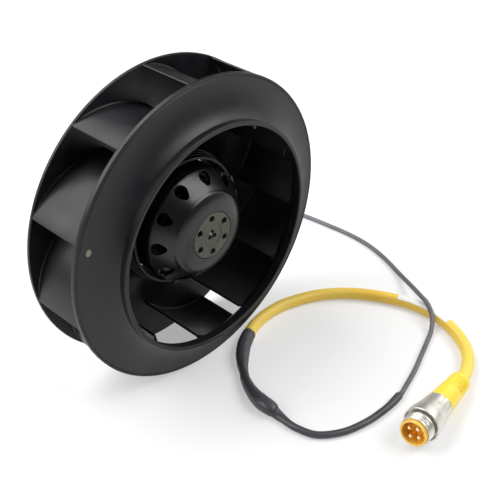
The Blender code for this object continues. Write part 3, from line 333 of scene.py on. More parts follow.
# Splice sleeve
# A wide heat-shrink tube over the joint between the lead and the supply cable.  It was shrunk
# over loose cores, so it is lumpy and part flat, with one sharp pinch where the cores cross.
SPLICE_SIDES = 48
SPLICE_SPACING = 1.0 * MM
PINCH_AT = 0.52                   # share of the sleeve's length
SPLICE_SWELLS = (                 # how much it swells or shrinks, where, and how far that goes
    (0.08, 0.15, 0.10), (-0.13, PINCH_AT, 0.06), (0.30, 0.0, 0.06), (-0.36, 0.0, 0.012),
    (-0.10, 1.0, 0.010),
)
splice_points, _ = smooth(SPLICE_POINTS + CABLE_POINTS[:1], SPLICE_SPACING)
splice_total = path_length(splice_points)
rings = []
travel = 0.0
for i, (point, side, up) in enumerate(frames(splice_points)):
    travel += 0 if i == 0 else (point - splice_points[i - 1]).length
    share = travel / splice_total
    wide = 1 + sum(size * blob(share, spot, width) for size, spot, width in SPLICE_SWELLS)
    twist = 2.2 * share + 2.6 / (1 + exp(-(share - PINCH_AT) * 26))
    ring = []
    for k in range(SPLICE_SIDES):
        turn = tau * k / SPLICE_SIDES
        cores = 0.045 * sin(3 * (turn + twist)) * (1 - 0.6 * share)
        lean = turn - 1.1 - 9 * (share - PINCH_AT)
        fold = 0.20 * blob(share, PINCH_AT + 0.015, 0.05) * max(0.0, cos(lean)) ** 8
        crease = 0.012 * sin(7 * turn + 60 * share) + 0.008 * sin(11 * turn - 95 * share)
        reach = point.z * wide * (1 + cores + fold + crease)
        rise = min(reach * 0.97, point.z * 0.995)
        high = reach * sin(turn) if sin(turn) > 0 else rise * sin(turn)
        ring.append(point + side * cos(turn) * reach + up * high)
    rings.append(ring)
splice = finished("splice_shrink_sleeve", loft(rings), shrink_film, 60)
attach(splice, "motor_base")
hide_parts("splice_sleeve")


# Supply cable
# A four-core cable in a thick yellow PVC jacket.  It comes out of the splice in front of the
# wheel, lies in one wide arc, passes under the lead and goes into the connector's boot.
CABLE_DIAMETER = 0.0095
CABLE_SPACING = 3 * MM


def soften(material, radius, weight=0.15, scale=0.5):
    """Let light soak into a material, each colour as far as its radius says."""
    shader = material.node_tree.nodes["Principled BSDF"]
    shader.inputs["Subsurface Weight"].default_value = weight
    shader.inputs["Subsurface Radius"].default_value = radius
    shader.inputs["Subsurface Scale"].default_value = scale


# Extruded soft PVC: a warm, slightly translucent yellow, satin, a little soiled.
cable_pvc = surface(
    "yellow_pvc_extruded", 0.42, (1.4, 0.012), (0.36, 0.52), ("#f4ca48", "#fada62"), ior=1.53
)
soften(cable_pvc, (0.004, 0.002, 0.0005))

cable_route, _ = smooth(SPLICE_POINTS[-2:] + CABLE_POINTS, CABLE_SPACING)
cable = tube("supply_cable_jacket", cable_route, CABLE_DIAMETER / 2, cable_pvc, 12)
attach(cable, "motor_base")
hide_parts("supply_cable")


# Cable wrap
# A blank strip of white polyester film with adhesive on its back.  It is stuck on lengthways
# and lies over the cable's outer side and its top.
WRAP_FROM = 0.571                 # shares of the cable's length
WRAP_TO = 0.763
WRAP_LOW = radians(-60)           # round the cable, from its outer side over the top
WRAP_HIGH = radians(133)
WRAP_SIDES = 28
WRAP_LIFT = 0.10 * MM
WRAP_THICKNESS = 0.12 * MM

# Polyester film with a matt white coat: brighter and smoother than the jacket.
white_film = surface(
    "white_polyester_film", 0.38, (3.0, 0.02), (0.32, 0.46), ("#f3f1ec", "#faf9f5"), ior=1.57
)

total = path_length(cable_route)
rings = []
travel = 0.0
for i, (point, side, up) in enumerate(frames(cable_route)):
    travel += 0 if i == 0 else (point - cable_route[i - 1]).length
    if not WRAP_FROM < travel / total < WRAP_TO:
        continue
    runs = []
    for thickness in (0, WRAP_THICKNESS):
        radius = CABLE_DIAMETER / 2 + WRAP_LIFT + thickness
        turns = [WRAP_LOW + (WRAP_HIGH - WRAP_LOW) * k / (WRAP_SIDES - 1)
                 for k in range(WRAP_SIDES)]
        runs.append([point + (up * sin(turn) - side * cos(turn)) * radius for turn in turns])
    rings.append(runs[0] + runs[1][::-1])
wrap = finished("blank_cable_wrap", loft(rings), white_film, 40)
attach(wrap, "motor_base")


# Connector boot
# Bright yellow PVC, moulded over the cable and the back of the contact carrier.  A row of
# flex slots near its tail lets it bend with the cable; it tapers from the nut to the cable.
CONNECTOR_HEADING = radians(186.7)
CONNECTOR_TILT = radians(6.6)
BOOT_LENGTH = 36.0
BOOT_BACK = 5.9                   # radii of its two ends
BOOT_FRONT = 10.0
BOOT_PROFILE = [
    (6.9, 0.3), (7.6, 1.3), (8.05, 4.0), (8.3, 7.1), (8.6, 13.1), (8.9, 19.1), (9.25, 25.1),
    (9.6, 31.1), (9.85, 35.0),
]
SLOT_AT = (6.8, 9.5, 12.2, 14.9, 17.6)
SLOT_WIDTH = 0.55
SLOT_DEPTH = 1.0
SLOT_MIDDLE = radians(147)        # the slots' middle, round the boot from its underside
SLOT_HALF = radians(42)
SLOT_FADE = 22                    # how quickly a slot runs out at its ends
FLOOR_CLEARANCE = 0.03

connector_axis = (
    Matrix.Translation(CABLE_POINTS[-1])
    @ Matrix.Rotation(CONNECTOR_HEADING, 4, "Z")
    @ Matrix.Rotation(pi / 2 - CONNECTOR_TILT, 4, "Y")
)


def rounded(corners, closed=True):
    """An outline through (x, y, round) corners, with an arc of that radius at each."""
    outline = []
    count = len(corners)
    for i, (x, y, radius) in enumerate(corners):
        here = Vector((x, y))
        if radius == 0 or not closed and i in (0, count - 1):
            outline.append((x, y))
            continue
        before = Vector(corners[i - 1][:2]) - here
        after = Vector(corners[(i + 1) % count][:2]) - here
        half = before.angle(after) / 2
        reach = min(radius / tan(half), 0.48 * min(before.length, after.length))
        radius = reach * tan(half)
        middle = here + (before.normalized() + after.normalized()).normalized() * radius / sin(half)
        start = here + before.normalized() * reach - middle
        sweep = pi - 2 * half
        if start.x * (after.y - before.y) - start.y * (after.x - before.x) < 0:
            sweep = -sweep
        steps = max(1, ceil(abs(sweep) / radians(18)))
        for k in range(steps + 1):
            turn = atan2(start.y, start.x) + sweep * k / steps
            outline.append((middle.x + radius * cos(turn), middle.y + radius * sin(turn)))
    return outline


def turned(name, outline, axis, material, sides=128, relief=None, sharp=35):
    """A solid turned round an axis from an outline in millimetres.  An outline that starts and
    ends on the axis makes a full solid, any other one a ring.  relief(angle, radius, height)
    gives the radius where the surface isn't round."""
    shape = bmesh.new()
    full = outline[0][0] < 1e-6 and outline[-1][0] < 1e-6
    rim = outline[1:-1] if full else outline
    columns = []
    for k in range(sides):
        turn = tau * k / sides
        column = []
        for radius, height in rim:
            reach = relief(turn, radius, height) if relief else radius
            column.append(shape.verts.new(
                (reach * cos(turn) * MM, reach * sin(turn) * MM, height * MM)
            ))
        columns.append(column)
    poles = [shape.verts.new((0, 0, outline[i][1] * MM)) for i in (0, -1)] if full else []
    for k in range(sides):
        here, there = columns[k], columns[(k + 1) % sides]
        for i in range(len(rim) - full):
            j = (i + 1) % len(rim)
            shape.faces.new((here[i], here[j], there[j], there[i]))
        if full:
            shape.faces.new((here[0], there[0], poles[0]))
            shape.faces.new((here[-1], poles[1], there[-1]))
    made = finished(name, shape, material, sharp)
    made.matrix_world = axis
    return made


def fine_line(corners, closed, step):
    """A rounded outline whose long runs are split, for a surface with relief."""
    outline = rounded(corners, closed)
    result = []
    for a, b in zip(outline, outline[1:]):
        parts = max(1, ceil(hypot(b[0] - a[0], b[1] - a[1]) / step))
        result += [(a[0] + (b[0] - a[0]) * i / parts, a[1] + (b[1] - a[1]) * i / parts)
                   for i in range(parts)]
    return result + [outline[-1]]


def boot_relief(turn, radius, height):
    """Flex slots, one row on the boot's upper flank and one on the opposite side, and a
    small flat where the soft tail rests on the floor."""
    if radius < 6.0:
        return radius
    if cos(turn) > 0.2:
        axis_height = CABLE_POINTS[-1][2] / MM + height * sin(CONNECTOR_TILT)
        room = (axis_height - FLOOR_CLEARANCE) / (cos(turn) * cos(CONNECTOR_TILT))
        radius = min(radius, room)
    reach = max(blob(height, spot, SLOT_WIDTH) for spot in SLOT_AT)
    away = abs((turn - SLOT_MIDDLE + pi / 2) % pi - pi / 2)
    flank = 1 / (1 + exp((away - SLOT_HALF) * SLOT_FADE))
    return radius - SLOT_DEPTH * reach * flank


# Moulded PVC: a saturated yellow, smoother and glossier than the extruded jacket.
boot_pvc = surface(
    "yellow_pvc_moulded", 0.36, (1.1, 0.015), (0.30, 0.44), ("#f9d833", "#fce255"), ior=1.53
)
soften(boot_pvc, (0.002, 0.0015, 0.0005))

boot_outline = fine_line([
    (0.0, 0.0, 0), (BOOT_BACK, 0.0, 0.4),
    *[(radius, height, 0) for radius, height in BOOT_PROFILE],
    (BOOT_FRONT, BOOT_LENGTH - 0.6, 0.3), (BOOT_FRONT - 0.3, BOOT_LENGTH, 0.2),
    (0.0, BOOT_LENGTH, 0),
], False, 0.25)
boot = turned("moulded_boot", boot_outline, connector_axis, boot_pvc, 96, boot_relief, 50)
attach(boot, "motor_base")
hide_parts("connector_boot")


# Coupling nut
# Turned brass, nickel plated.  The back is a knurled grip with shallow flutes, the middle
# flares to a smooth band, and the front carries the 7/8 inch thread with 16 turns to the inch.
NUT_START = 36.3
NUT_BARREL = 10.2
NUT_BARREL_END = NUT_START + 10.2
NUT_BAND_START = NUT_BARREL_END + 9.0
NUT_BAND_END = NUT_BAND_START + 8.0
NUT_END = NUT_BAND_END + 9.4
NUT_BAND = 13.4
NUT_PROFILE = [
    (10.4, 39.1), (10.8, 43.1), (11.3, 47.1), (11.85, 51.1), (12.35, 53.3), (12.8, 55.1),
    (13.1, 58.0), (13.3, 61.0),
]
BAND_GROOVE = (10.6, 12.3)        # radii of the ring groove in the band's front
BAND_GROOVE_DEPTH = 4.0
THREAD_RADIUS = 11.1
THREAD_PITCH = 2.2                # the real one is 1.6 mm; drawn coarser so that it shows
THREAD_DEPTH = 0.8
THREAD_PLAIN = 2.4
NUT_BORE = 10.1
NUT_BACK_BORE = 8.4
FLUTES = 10
FLUTE_DEPTH = 0.45

# Nickel plate over turned brass: a soft warm white metal with very fine turning lines.
nickel, tree, shader = finish("nickel_plated_brass", 0.44, metallic=1.0)
where = add(tree, "ShaderNodeTexCoord")
split = add(tree, "ShaderNodeSeparateXYZ", {}, {"Vector": where.outputs["Object"]})
# Real turning lines are 0.05 mm apart; they are drawn at 0.25 mm so that they show.
lines = add(tree, "ShaderNodeTexNoise", {"noise_dimensions": "1D"}, {
    "W": split.outputs["Z"], "Scale": 1000 / 0.25, "Detail": 2,
})
smudge = add(tree, "ShaderNodeTexNoise", {}, {
    "Vector": where.outputs["Object"], "Scale": 1000 / 6.0, "Detail": 4,
})
rough = add(tree, "ShaderNodeMapRange", {}, {
    "Value": smudge.outputs["Fac"], "From Min": 0.3, "From Max": 0.7,
    "To Min": 0.38, "To Max": 0.50,
})
bump = add(tree, "ShaderNodeBump", {}, {
    "Height": lines.outputs["Fac"], "Distance": 0.004 * MM, "Strength": 1.0,
})
tree.links.new(rough.outputs["Result"], shader.inputs["Roughness"])
tree.links.new(bump.outputs["Normal"], shader.inputs["Normal"])
shade(tree, shader, smudge.outputs["Fac"], "#dedbd3", "#eeebe4")


def nut_relief(turn, radius, height):
    """Flutes on the grip, and the helical thread at the front."""
    if height < NUT_BARREL_END + 4 and radius > NUT_BARREL - 0.9:
        fade = 1 / (1 + exp((height - NUT_BARREL_END) * 1.6))
        valley = max(0.0, cos(FLUTES * turn / 2 + pi / 2) ** 2 - 0.55) / 0.45
        return radius - FLUTE_DEPTH * fade * valley
    if height > NUT_BAND_END + THREAD_PLAIN and radius > NUT_BORE + 0.3:
        turns = (height - NUT_BAND_END) / THREAD_PITCH - turn / tau
        flank = abs(turns % 1.0 - 0.5) * 2
        start = min(1.0, (height - NUT_BAND_END - THREAD_PLAIN) / 0.8)
        end = min(1.0, max(0.0, (NUT_END - 0.35 - height) / 0.5))
        return radius - THREAD_DEPTH * flank * start * end
    return radius


nut_outline = fine_line([
    (NUT_BACK_BORE, NUT_START, 0.2), (NUT_BARREL, NUT_START, 0.4),
    *[(radius, height, 4.0) for radius, height in NUT_PROFILE],
    (NUT_BAND, NUT_BAND_END, 0.6), (BAND_GROOVE[1], NUT_BAND_END, 0.3),
    (BAND_GROOVE[1], NUT_BAND_END - BAND_GROOVE_DEPTH, 0.3),
    (BAND_GROOVE[0], NUT_BAND_END - BAND_GROOVE_DEPTH, 0.2),
    (BAND_GROOVE[0], NUT_BAND_END + 0.9, 0.2), (THREAD_RADIUS, NUT_BAND_END + 1.5, 0.2),
    (THREAD_RADIUS, NUT_END, 0.35), (NUT_BORE, NUT_END, 0.15),
    (NUT_BORE, NUT_BAND_START, 0.1), (NUT_BACK_BORE, NUT_BAND_START, 0.1),
], True, 0.2)
nut = turned("nickel_coupling_nut", nut_outline, connector_axis, nickel, 120, nut_relief, 40)
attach(nut, "nut")
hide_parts("coupling_nut")


# Contact carrier
# Amber plastic, moulded in one piece: the stem runs through the nut, and the round head
# covers the nut's front edge.  Its deep recess has a rib that keys the mating plug.
CARRIER_FRONT = NUT_END + 2.2
CARRIER_HEAD = 10.0
CARRIER_HEAD_START = NUT_END + 0.3
CARRIER_RECESS = 8.4
CARRIER_FLOOR = CARRIER_FRONT - 8.0
KEY_ANGLE = radians(107)
KEY_WIDTH = 1.3
KEY_REACH = 1.5
CARRIER_FOOT = NUT_START + 1.0
STEM = NUT_BORE - 0.3

# Moulded amber polyurethane: glossy and translucent, painted pale honey at the front rim and a
# darker red-orange towards the recess floor, as painted shade and painted light through thick
# amber.
amber, tree, shader = finish("amber_moulded_polyurethane", 0.28, ior=1.5)
where, _, broad = grain(tree, shader, 0.8, 0.01, 0.22, 0.34)
split = add(tree, "ShaderNodeSeparateXYZ", {}, {"Vector": where.outputs["Object"]})
# painted shade: the colour turns darker and deeper orange towards the recess floor
painted_recess_shade = add(tree, "ShaderNodeMapRange", {}, {
    "Value": split.outputs["Z"], "From Min": CARRIER_FLOOR * MM, "From Max": CARRIER_FRONT * MM,
    "To Min": 0.0, "To Max": 1.0,
})
patch = add(tree, "ShaderNodeMath", {"operation": "MULTIPLY_ADD"}, {
    0: broad.outputs["Fac"], 1: 0.24, 2: -0.12,
})
level = add(tree, "ShaderNodeMath", {"operation": "ADD"}, {
    0: painted_recess_shade.outputs["Result"], 1: patch.outputs[0],
})
shade(tree, shader, level.outputs[0], "#f2aa1c", "#f2c75c", 0.0, 1.0)
shader.inputs["Coat Weight"].default_value = 0.3
soften(amber, (0.002, 0.0012, 0.0003), 0.25, 0.6)


def carrier_relief(turn, radius, height):
    """The key rib stands out of the recess's wall."""
    if height < CARRIER_FLOOR + 0.5 or height > CARRIER_FRONT - 1.0:
        return radius
    if not CARRIER_RECESS - 0.1 < radius < CARRIER_RECESS + 0.1:
        return radius
    away = (turn - KEY_ANGLE + pi) % tau - pi
    return radius - KEY_REACH * blob(away * radius, 0.0, KEY_WIDTH)


carrier_outline = fine_line([
    (0.0, CARRIER_FLOOR, 0), (CARRIER_RECESS, CARRIER_FLOOR, 0.5),
    (CARRIER_RECESS, CARRIER_FRONT, 0.4), (CARRIER_HEAD, CARRIER_FRONT, 0.6),
    (CARRIER_HEAD, CARRIER_HEAD_START, 0.2), (STEM, CARRIER_HEAD_START, 0.1),
    (STEM, NUT_BAND_START + 0.4, 0.2), (NUT_BACK_BORE - 0.3, NUT_BAND_START + 0.4, 0.1),
    (NUT_BACK_BORE - 0.3, CARRIER_FOOT, 0.2), (0.0, CARRIER_FOOT, 0),
], False, 0.5)
carrier = turned(
    "amber_contact_carrier", carrier_outline, connector_axis, amber, 96, carrier_relief, 40
)
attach(carrier, "motor_base")
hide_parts("contact_carrier")


# Contact pins
# Four turned brass pins, plated with a thin layer of gold, with rounded tips.  They are
# pressed into the carrier's floor and stay just behind its front.
PIN_CIRCLE = 4.45
PIN_RADIUS = 1.3
PIN_PHASE = radians(62.7)
PIN_FOOT = CARRIER_FLOOR - 5.7
PIN_TIP = CARRIER_FRONT - 1.0

# Gold plate: pale and warm, polished.
gold = surface(
    "gold_plated_brass", 0.28, (0.4, 0.003), (0.22, 0.34), ("#f6e0a0", "#fdf0c8"), metallic=1.0
)


def around(count, circle, phase=0.0):
    """Places evenly round an axis, on a circle whose radius is in millimetres."""
    return [
        Matrix.Translation((circle * cos(turn) * MM, circle * sin(turn) * MM, 0))
        for turn in [phase + i * tau / count for i in range(count)]
    ]


pin_outline = rounded([
    (0.0, PIN_FOOT, 0), (PIN_RADIUS, PIN_FOOT, 0.2), (PIN_RADIUS, PIN_TIP, 0.8), (0.0, PIN_TIP, 0),
], False)
for i, place in enumerate(around(4, PIN_CIRCLE, PIN_PHASE)):
    pin = turned(f"plated_pin_{i + 1}", pin_outline, connector_axis @ place, gold, 32)
    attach(pin, "motor_base")
    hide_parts(f"contact_pin_{i + 1}")


# Motor flange
# The fixed casting at the back, pressure-cast in aluminium.  Its flat back face is screwed
# down, its skirt closes the motor, and its tube carries the stator and both bearings.
RIM_FRONT = -24.85
RIM_RADIUS = 112.5
FLANGE_RADIUS = 46.0
FLANGE_FRONT = -50.4
FLANGE_BACK = -64.9
FLANGE_FLOOR = -60.5
FLANGE_BORE = 42.5
BEARING_SEAT = 11.3
BEARING_STOP = 9.6                # the bearings' outer rings rest on this narrower bore
STOP_BACK = -51.7
STOP_FRONT = -20.3
TUBE_RADIUS = 14.0
TUBE_FRONT = -12.4
MOUNT_CIRCLE = 34.0
MOUNT_HOLE = 2.1
MOUNT_COUNTERSINK = 2.9
FACE_RELIEF = 0.8
EXIT_HOLE = 3.6                   # the lead's hole through the skirt
EXIT_HEIGHT = -0.056
EXIT_TURN = radians(-45)

fan_axis = (
    Matrix.Translation((0, RIM_FRONT * MM, RIM_RADIUS * MM)) @ Matrix.Rotation(pi / 2, 4, "X")
)


def cut(piece, *cutters):
    """Subtract closed meshes given as (bmesh, matrix on the piece's axis), then apply."""
    group = bpy.data.collections.new(f"cutters_of_{piece.name}")
    for i, (shape, place) in enumerate(cutters):
        mesh = bpy.data.meshes.new("cutter")
        bmesh.ops.recalc_face_normals(shape, faces=shape.faces)
        shape.to_mesh(mesh)
        shape.free()
        tool = bpy.data.objects.new(f"cutter_{i}", mesh)
        tool.matrix_world = piece.matrix_world @ place
        bpy.context.scene.collection.objects.link(tool)
        group.objects.link(tool)
    boolean = piece.modifiers.new("cut", "BOOLEAN")
    boolean.solver = "EXACT"
    boolean.operand_type = "COLLECTION"
    boolean.collection = group
    piece.modifiers.move(len(piece.modifiers) - 1, 0)
    bpy.context.view_layer.update()
    evaluated = piece.evaluated_get(bpy.context.evaluated_depsgraph_get())
    mesh = bpy.data.meshes.new_from_object(evaluated)
    for modifier in list(piece.modifiers):
        piece.modifiers.remove(modifier)
    piece.data = mesh
    for tool in list(group.objects):
        bpy.data.objects.remove(tool, do_unlink=True)
    bpy.data.collections.remove(group)


def drill(profile, sides=40):
    """A turned cutter from a (radius, height) profile in millimetres."""
    turns = [tau * k / sides for k in range(sides)]
    return loft([
        [(radius * cos(turn) * MM, radius * sin(turn) * MM, height * MM) for turn in turns]
        for radius, height in profile
    ])


# Pressure-cast aluminium: pale grey, satin, faintly mottled, with a fine cast grain.
die_cast = surface(
    "pressure_cast_aluminium", 0.46, (0.5, 0.02), (0.38, 0.56), ("#a2a4a0", "#b6b8b4"),
    4, metallic=0.9
)

flange_outline = rounded([
    (FLANGE_RADIUS, FLANGE_FRONT, 0.5), (FLANGE_RADIUS, FLANGE_BACK, 1.2),
    (40.5, FLANGE_BACK, 0.3), (39.7, FLANGE_BACK + FACE_RELIEF, 0.3),
    (29.0, FLANGE_BACK + FACE_RELIEF, 0.3), (28.2, FLANGE_BACK, 0.3),
    (17.0, FLANGE_BACK, 0.4), (16.4, FLANGE_BACK + 0.5, 0.2),
    (12.6, FLANGE_BACK + 0.5, 0.2), (12.2, FLANGE_BACK, 0.3),
    (BEARING_SEAT, FLANGE_BACK, 0.2), (BEARING_SEAT, STOP_BACK, 0.1),
    (BEARING_STOP, STOP_BACK, 0.1), (BEARING_STOP, STOP_FRONT, 0.1),
    (BEARING_SEAT, STOP_FRONT, 0.1), (BEARING_SEAT, TUBE_FRONT, 0.2),
    (TUBE_RADIUS, TUBE_FRONT, 0.3), (TUBE_RADIUS, FLANGE_FLOOR, 0.5),
    (FLANGE_BORE, FLANGE_FLOOR, 1.0), (FLANGE_BORE, FLANGE_FRONT, 0.4),
])
flange = turned("cast_motor_flange", flange_outline, fan_axis, die_cast, 144)
pad = FLANGE_BACK + FACE_RELIEF
screw_hole = [
    (MOUNT_COUNTERSINK + 1.0, FLANGE_BACK - 1), (MOUNT_COUNTERSINK + 0.6, pad - 0.3),
    (MOUNT_HOLE, pad + 1.3), (MOUNT_HOLE, FLANGE_FLOOR + 2),
]
bores = [(drill(screw_hole), place) for place in around(4, MOUNT_CIRCLE)]
exit_axis = (
    Matrix.Translation((0, 0, EXIT_HEIGHT)) @ Matrix.Rotation(EXIT_TURN, 4, "Z")
    @ Matrix.Rotation(pi / 2, 4, "Y")
)
bores.append((drill([(EXIT_HOLE, 38), (EXIT_HOLE, 50)], 32), exit_axis))
cut(flange, *bores)
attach(flange, "motor_base")
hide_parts("motor_flange")


# Bearing cover
# A cap pressed from zinc-plated sheet steel, dished, with a rolled edge.  It is pushed into the
# flange's tube and closes the back bearing.
COVER_RADIUS = 11.0
COVER_BACK = -64.5
COVER_FRONT = -62.5
COVER_DISH = 0.9

# Zinc-plated pressed steel: light grey, with faint rolling streaks.
zinc_steel = surface(
    "zinc_plated_pressed_steel", 0.36, (0.7, 0.006), (0.28, 0.44), ("#a9abad", "#c2c4c6"),
    metallic=1.0
)

cover = turned("pressed_bearing_cover", rounded([
    (0.0, COVER_BACK + COVER_DISH, 0), (6.5, COVER_BACK + COVER_DISH, 0.8),
    (7.6, COVER_BACK, 0.6), (COVER_RADIUS, COVER_BACK, 0.7), (COVER_RADIUS, COVER_FRONT, 0.2),
    (0.0, COVER_FRONT, 0),
], False), fan_axis, zinc_steel, 96)
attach(cover, "motor_base")
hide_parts("bearing_cover")


# Lead grommet
# Black rubber, moulded.  It is pulled into the hole in the flange's skirt until its lips
# grip both sides, and its ribbed, tapering tail eases the bend of the lead.
GROMMET_LEAD = 2.2
GROMMET_LIP = 5.6
GROMMET_SEAT = 46.3               # its outer lip's seat on the skirt, from the fan's axis
GROMMET_NECK = 3.3
INNER_LIP = 4.2
INNER_SEAT = 42.2
GROMMET_START = 40.4
TAIL_ROOT = 4.4
TAIL_TIP = 2.9
TAIL_START = GROMMET_SEAT + 1.8
TAIL_END = GROMMET_SEAT + 21.0
RIB_PITCH = 2.6
RIB_DEPTH = 0.55

# Moulded rubber: deep black, matt, with a bloom of grey dust.
rubber = surface(
    "black_rubber_moulded", 0.68, (0.6, 0.02), (0.60, 0.80), ("#1c1c1d", "#2a2a2b"), ior=1.52
)


def grommet_relief(turn, radius, height):
    """Ring grooves along the tail."""
    if height < TAIL_START + 1.5 or height > TAIL_END - 1.2 or radius < GROMMET_LEAD + 0.4:
        return radius
    return radius - RIB_DEPTH * max(0.0, cos(tau * (height - TAIL_START) / RIB_PITCH)) ** 2


grommet = turned("ribbed_lead_grommet", fine_line([
    (TAIL_TIP, TAIL_END, 0.3), (TAIL_ROOT, TAIL_START, 0.3), (GROMMET_LIP, TAIL_START, 0.4),
    (GROMMET_LIP, GROMMET_SEAT, 0.3), (GROMMET_NECK, GROMMET_SEAT, 0.1),
    (GROMMET_NECK, INNER_SEAT, 0.1), (INNER_LIP, INNER_SEAT, 0.3), (INNER_LIP, GROMMET_START, 0.3),
    (GROMMET_LEAD, GROMMET_START, 0.1), (GROMMET_LEAD, TAIL_END, 0.2),
], True, 0.25), fan_axis @ exit_axis, rubber, 64, grommet_relief, 50)
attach(grommet, "motor_base")
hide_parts("lead_grommet")


# Stator
# The wound, fixed part inside the rotor: stamped electrical steel pressed on the tube, thin
# insulators at both ends, coil heads of varnished copper wire, and a small protector tied to
# the back coil head.  All of it keeps its solid from the frame.
def dress(material, *names):
    """Give frame nodes that keep their shape a better surface."""
    for name in names:
        nodes[name].data.materials.clear()
        nodes[name].data.materials.append(material)


# Stamped electrical steel, stacked: dull grey sheets, 0.5 mm thick, seen as fine lines.
laminated, tree, shader = finish("stacked_electrical_steel", 0.45, metallic=0.9)
where = add(tree, "ShaderNodeTexCoord")
split = add(tree, "ShaderNodeSeparateXYZ", {}, {"Vector": where.outputs["Object"]})
sheets = add(tree, "ShaderNodeTexNoise", {"noise_dimensions": "1D"}, {
    "W": split.outputs["Y"], "Scale": 1000 / 0.5, "Detail": 1,
})
bump = add(tree, "ShaderNodeBump", {}, {"Height": sheets.outputs["Fac"], "Distance": 0.05 * MM})
tree.links.new(bump.outputs["Normal"], shader.inputs["Normal"])
shade(tree, shader, sheets.outputs["Fac"], "#4c4d52", "#6d6f74")
dress(laminated, "stator_core", "rotor_core")

# Polyester film and moulded polyester: matt, darkened by the same varnish.
polyester = surface(
    "moulded_polyester", 0.55, (0.8, 0.01), (0.48, 0.64), ("#2a2721", "#38342c"), ior=1.57
)
dress(polyester, "insulator_front", "insulator_back", "thermal_protector")

# Enamelled copper wire, wound: round turns 0.6 mm apart, varnished, its colour painted near black
# as painted shade for the dark inside seen through the bell's windows.
enamelled, tree, shader = finish("copper_wire_painted_dark", 0.35, metallic=0.3)
where = add(tree, "ShaderNodeTexCoord")
turns = add(tree, "ShaderNodeTexWave", {"wave_type": "RINGS", "rings_direction": "Y"}, {
    "Vector": where.outputs["Object"], "Scale": 1000 / 0.6 / tau, "Distortion": 1.5,
})
bump = add(tree, "ShaderNodeBump", {}, {"Height": turns.outputs["Fac"], "Distance": 0.15 * MM})
tree.links.new(bump.outputs["Normal"], shader.inputs["Normal"])
shade(tree, shader, turns.outputs["Fac"], "#0e0a08", "#1c130d")
dress(enamelled, "winding_front", "winding_back")


# Bearings and spring
# Two ground steel ball bearings on the shaft, pushed apart by a thin spring ring.  They sit
# deep in the flange's tube and keep their solids.

# Ground bearing steel: bright, with a faint blue-grey oil film.
ground_steel = surface(
    "ground_bearing_steel", 0.22, (0.4, 0.002), (0.16, 0.30), ("#a6abb1", "#c6cace"), metallic=1.0
)
dress(
    ground_steel, "front_bearing_inner_ring", "front_bearing_balls", "front_bearing_outer_ring",
    "back_bearing_inner_ring", "back_bearing_balls", "back_bearing_outer_ring",
    "preload_spring", "shaft_circlip",
)


# Shaft
# A plain round bar of ground steel, pressed into the hub insert, which turns in both bearings.
# Its front end shows in the insert's lobed hole.
SHAFT = 4.0
SHAFT_FRONT = 4.1
SHAFT_BACK = -61.6

shaft = turned("ground_rotor_shaft", rounded([
    (0.0, SHAFT_FRONT, 0), (SHAFT, SHAFT_FRONT, 0.6), (SHAFT, SHAFT_BACK, 0.5),
    (0.0, SHAFT_BACK, 0),
], False), fan_axis, ground_steel, 64)
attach(shaft, "impeller")
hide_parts("rotor_shaft")


# Rotor can and rings
# The outer shell of the motor turns with the wheel: a deep-drawn steel cup, open at the back,
# round a ring of stacked sheets with a cast aluminium ring at each end.
CAN_RADIUS = 42.3
CAN_FRONT = -11.3
CAN_BACK = -46.0
CAN_WALL = 1.3
CAN_FACE = 1.7
CAN_MOUTH = 39.0

# Black stoved paint on drawn steel: satin, smooth, with a faint orange peel.
black_paint = surface(
    "black_stoved_paint", 0.28, (1.6, 0.012), (0.23, 0.34), ("#0a0a0c", "#121214")
)

can = turned("drawn_rotor_can", rounded([
    (CAN_RADIUS, CAN_FRONT, 0.8), (CAN_RADIUS, CAN_BACK, 0.3),
    (CAN_RADIUS - CAN_WALL, CAN_BACK, 0.3), (CAN_RADIUS - CAN_WALL, CAN_FRONT - CAN_FACE, 0.5),
    (CAN_MOUTH, CAN_FRONT - CAN_FACE, 0.2), (CAN_MOUTH, CAN_FRONT, 0.3),
]), fan_axis, black_paint, 144)
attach(can, "impeller")
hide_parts("rotor_can")
# The cast aluminium cage rings take the black paint as painted shade, so they stay dark behind the
# windows.
dress(black_paint, "cage_ring_front", "cage_ring_back")


# Hub insert
# The cast plate between the bell and the shaft: zinc alloy with a greenish grey chromate.
# It is riveted over from behind, six holes take balancing pins, and a shallow round recess
# holds the lobed hole through which the shaft was pressed.
INSERT_FACE = 6.6
INSERT_RADIUS = 17.3
INSERT_FLANGE = 20.5
INSERT_SEAT = 3.3
INSERT_BACK = 1.2
HUB_RADIUS = 6.1
HUB_BACK = -12.7
HUB_BORE = 4.3
RECESS_RADIUS = 8.7
RECESS_DEPTH = 0.4
INSERT_WEB = 4.4
INSERT_HOLE = 2.4
INSERT_HOLE_CIRCLE = 13.3
LOBE_CIRCLE = 2.5
LOBE = 1.9

# Chromated zinc casting: olive grey, satin, slightly blotched.
chromate = surface(
    "chromated_zinc_casting", 0.40, (0.45, 0.015), (0.34, 0.50), ("#3e3f39", "#52534b"),
    5, metallic=0.35
)

insert = turned("cast_hub_insert", rounded([
    (INSERT_RADIUS, INSERT_FACE, 0.5), (INSERT_RADIUS, INSERT_SEAT, 0.1),
    (INSERT_FLANGE, INSERT_SEAT, 0.3), (INSERT_FLANGE, INSERT_BACK, 0.3),
    (RECESS_RADIUS, INSERT_BACK, 0.4), (HUB_RADIUS, HUB_BACK, 0.3), (HUB_BORE, HUB_BACK, 0.2),
    (HUB_BORE, INSERT_WEB, 0.1), (1.0, INSERT_WEB, 0.05), (1.0, INSERT_FACE - RECESS_DEPTH, 0.1),
    (RECESS_RADIUS, INSERT_FACE - RECESS_DEPTH, 0.25), (RECESS_RADIUS, INSERT_FACE, 0.3),
]), fan_axis, chromate, 144)
pin_hole = [
    (INSERT_HOLE, -4), (INSERT_HOLE, INSERT_FACE - 0.35),
    (INSERT_HOLE + 0.5, INSERT_FACE + 0.15), (INSERT_HOLE + 0.5, INSERT_FACE + 2),
]
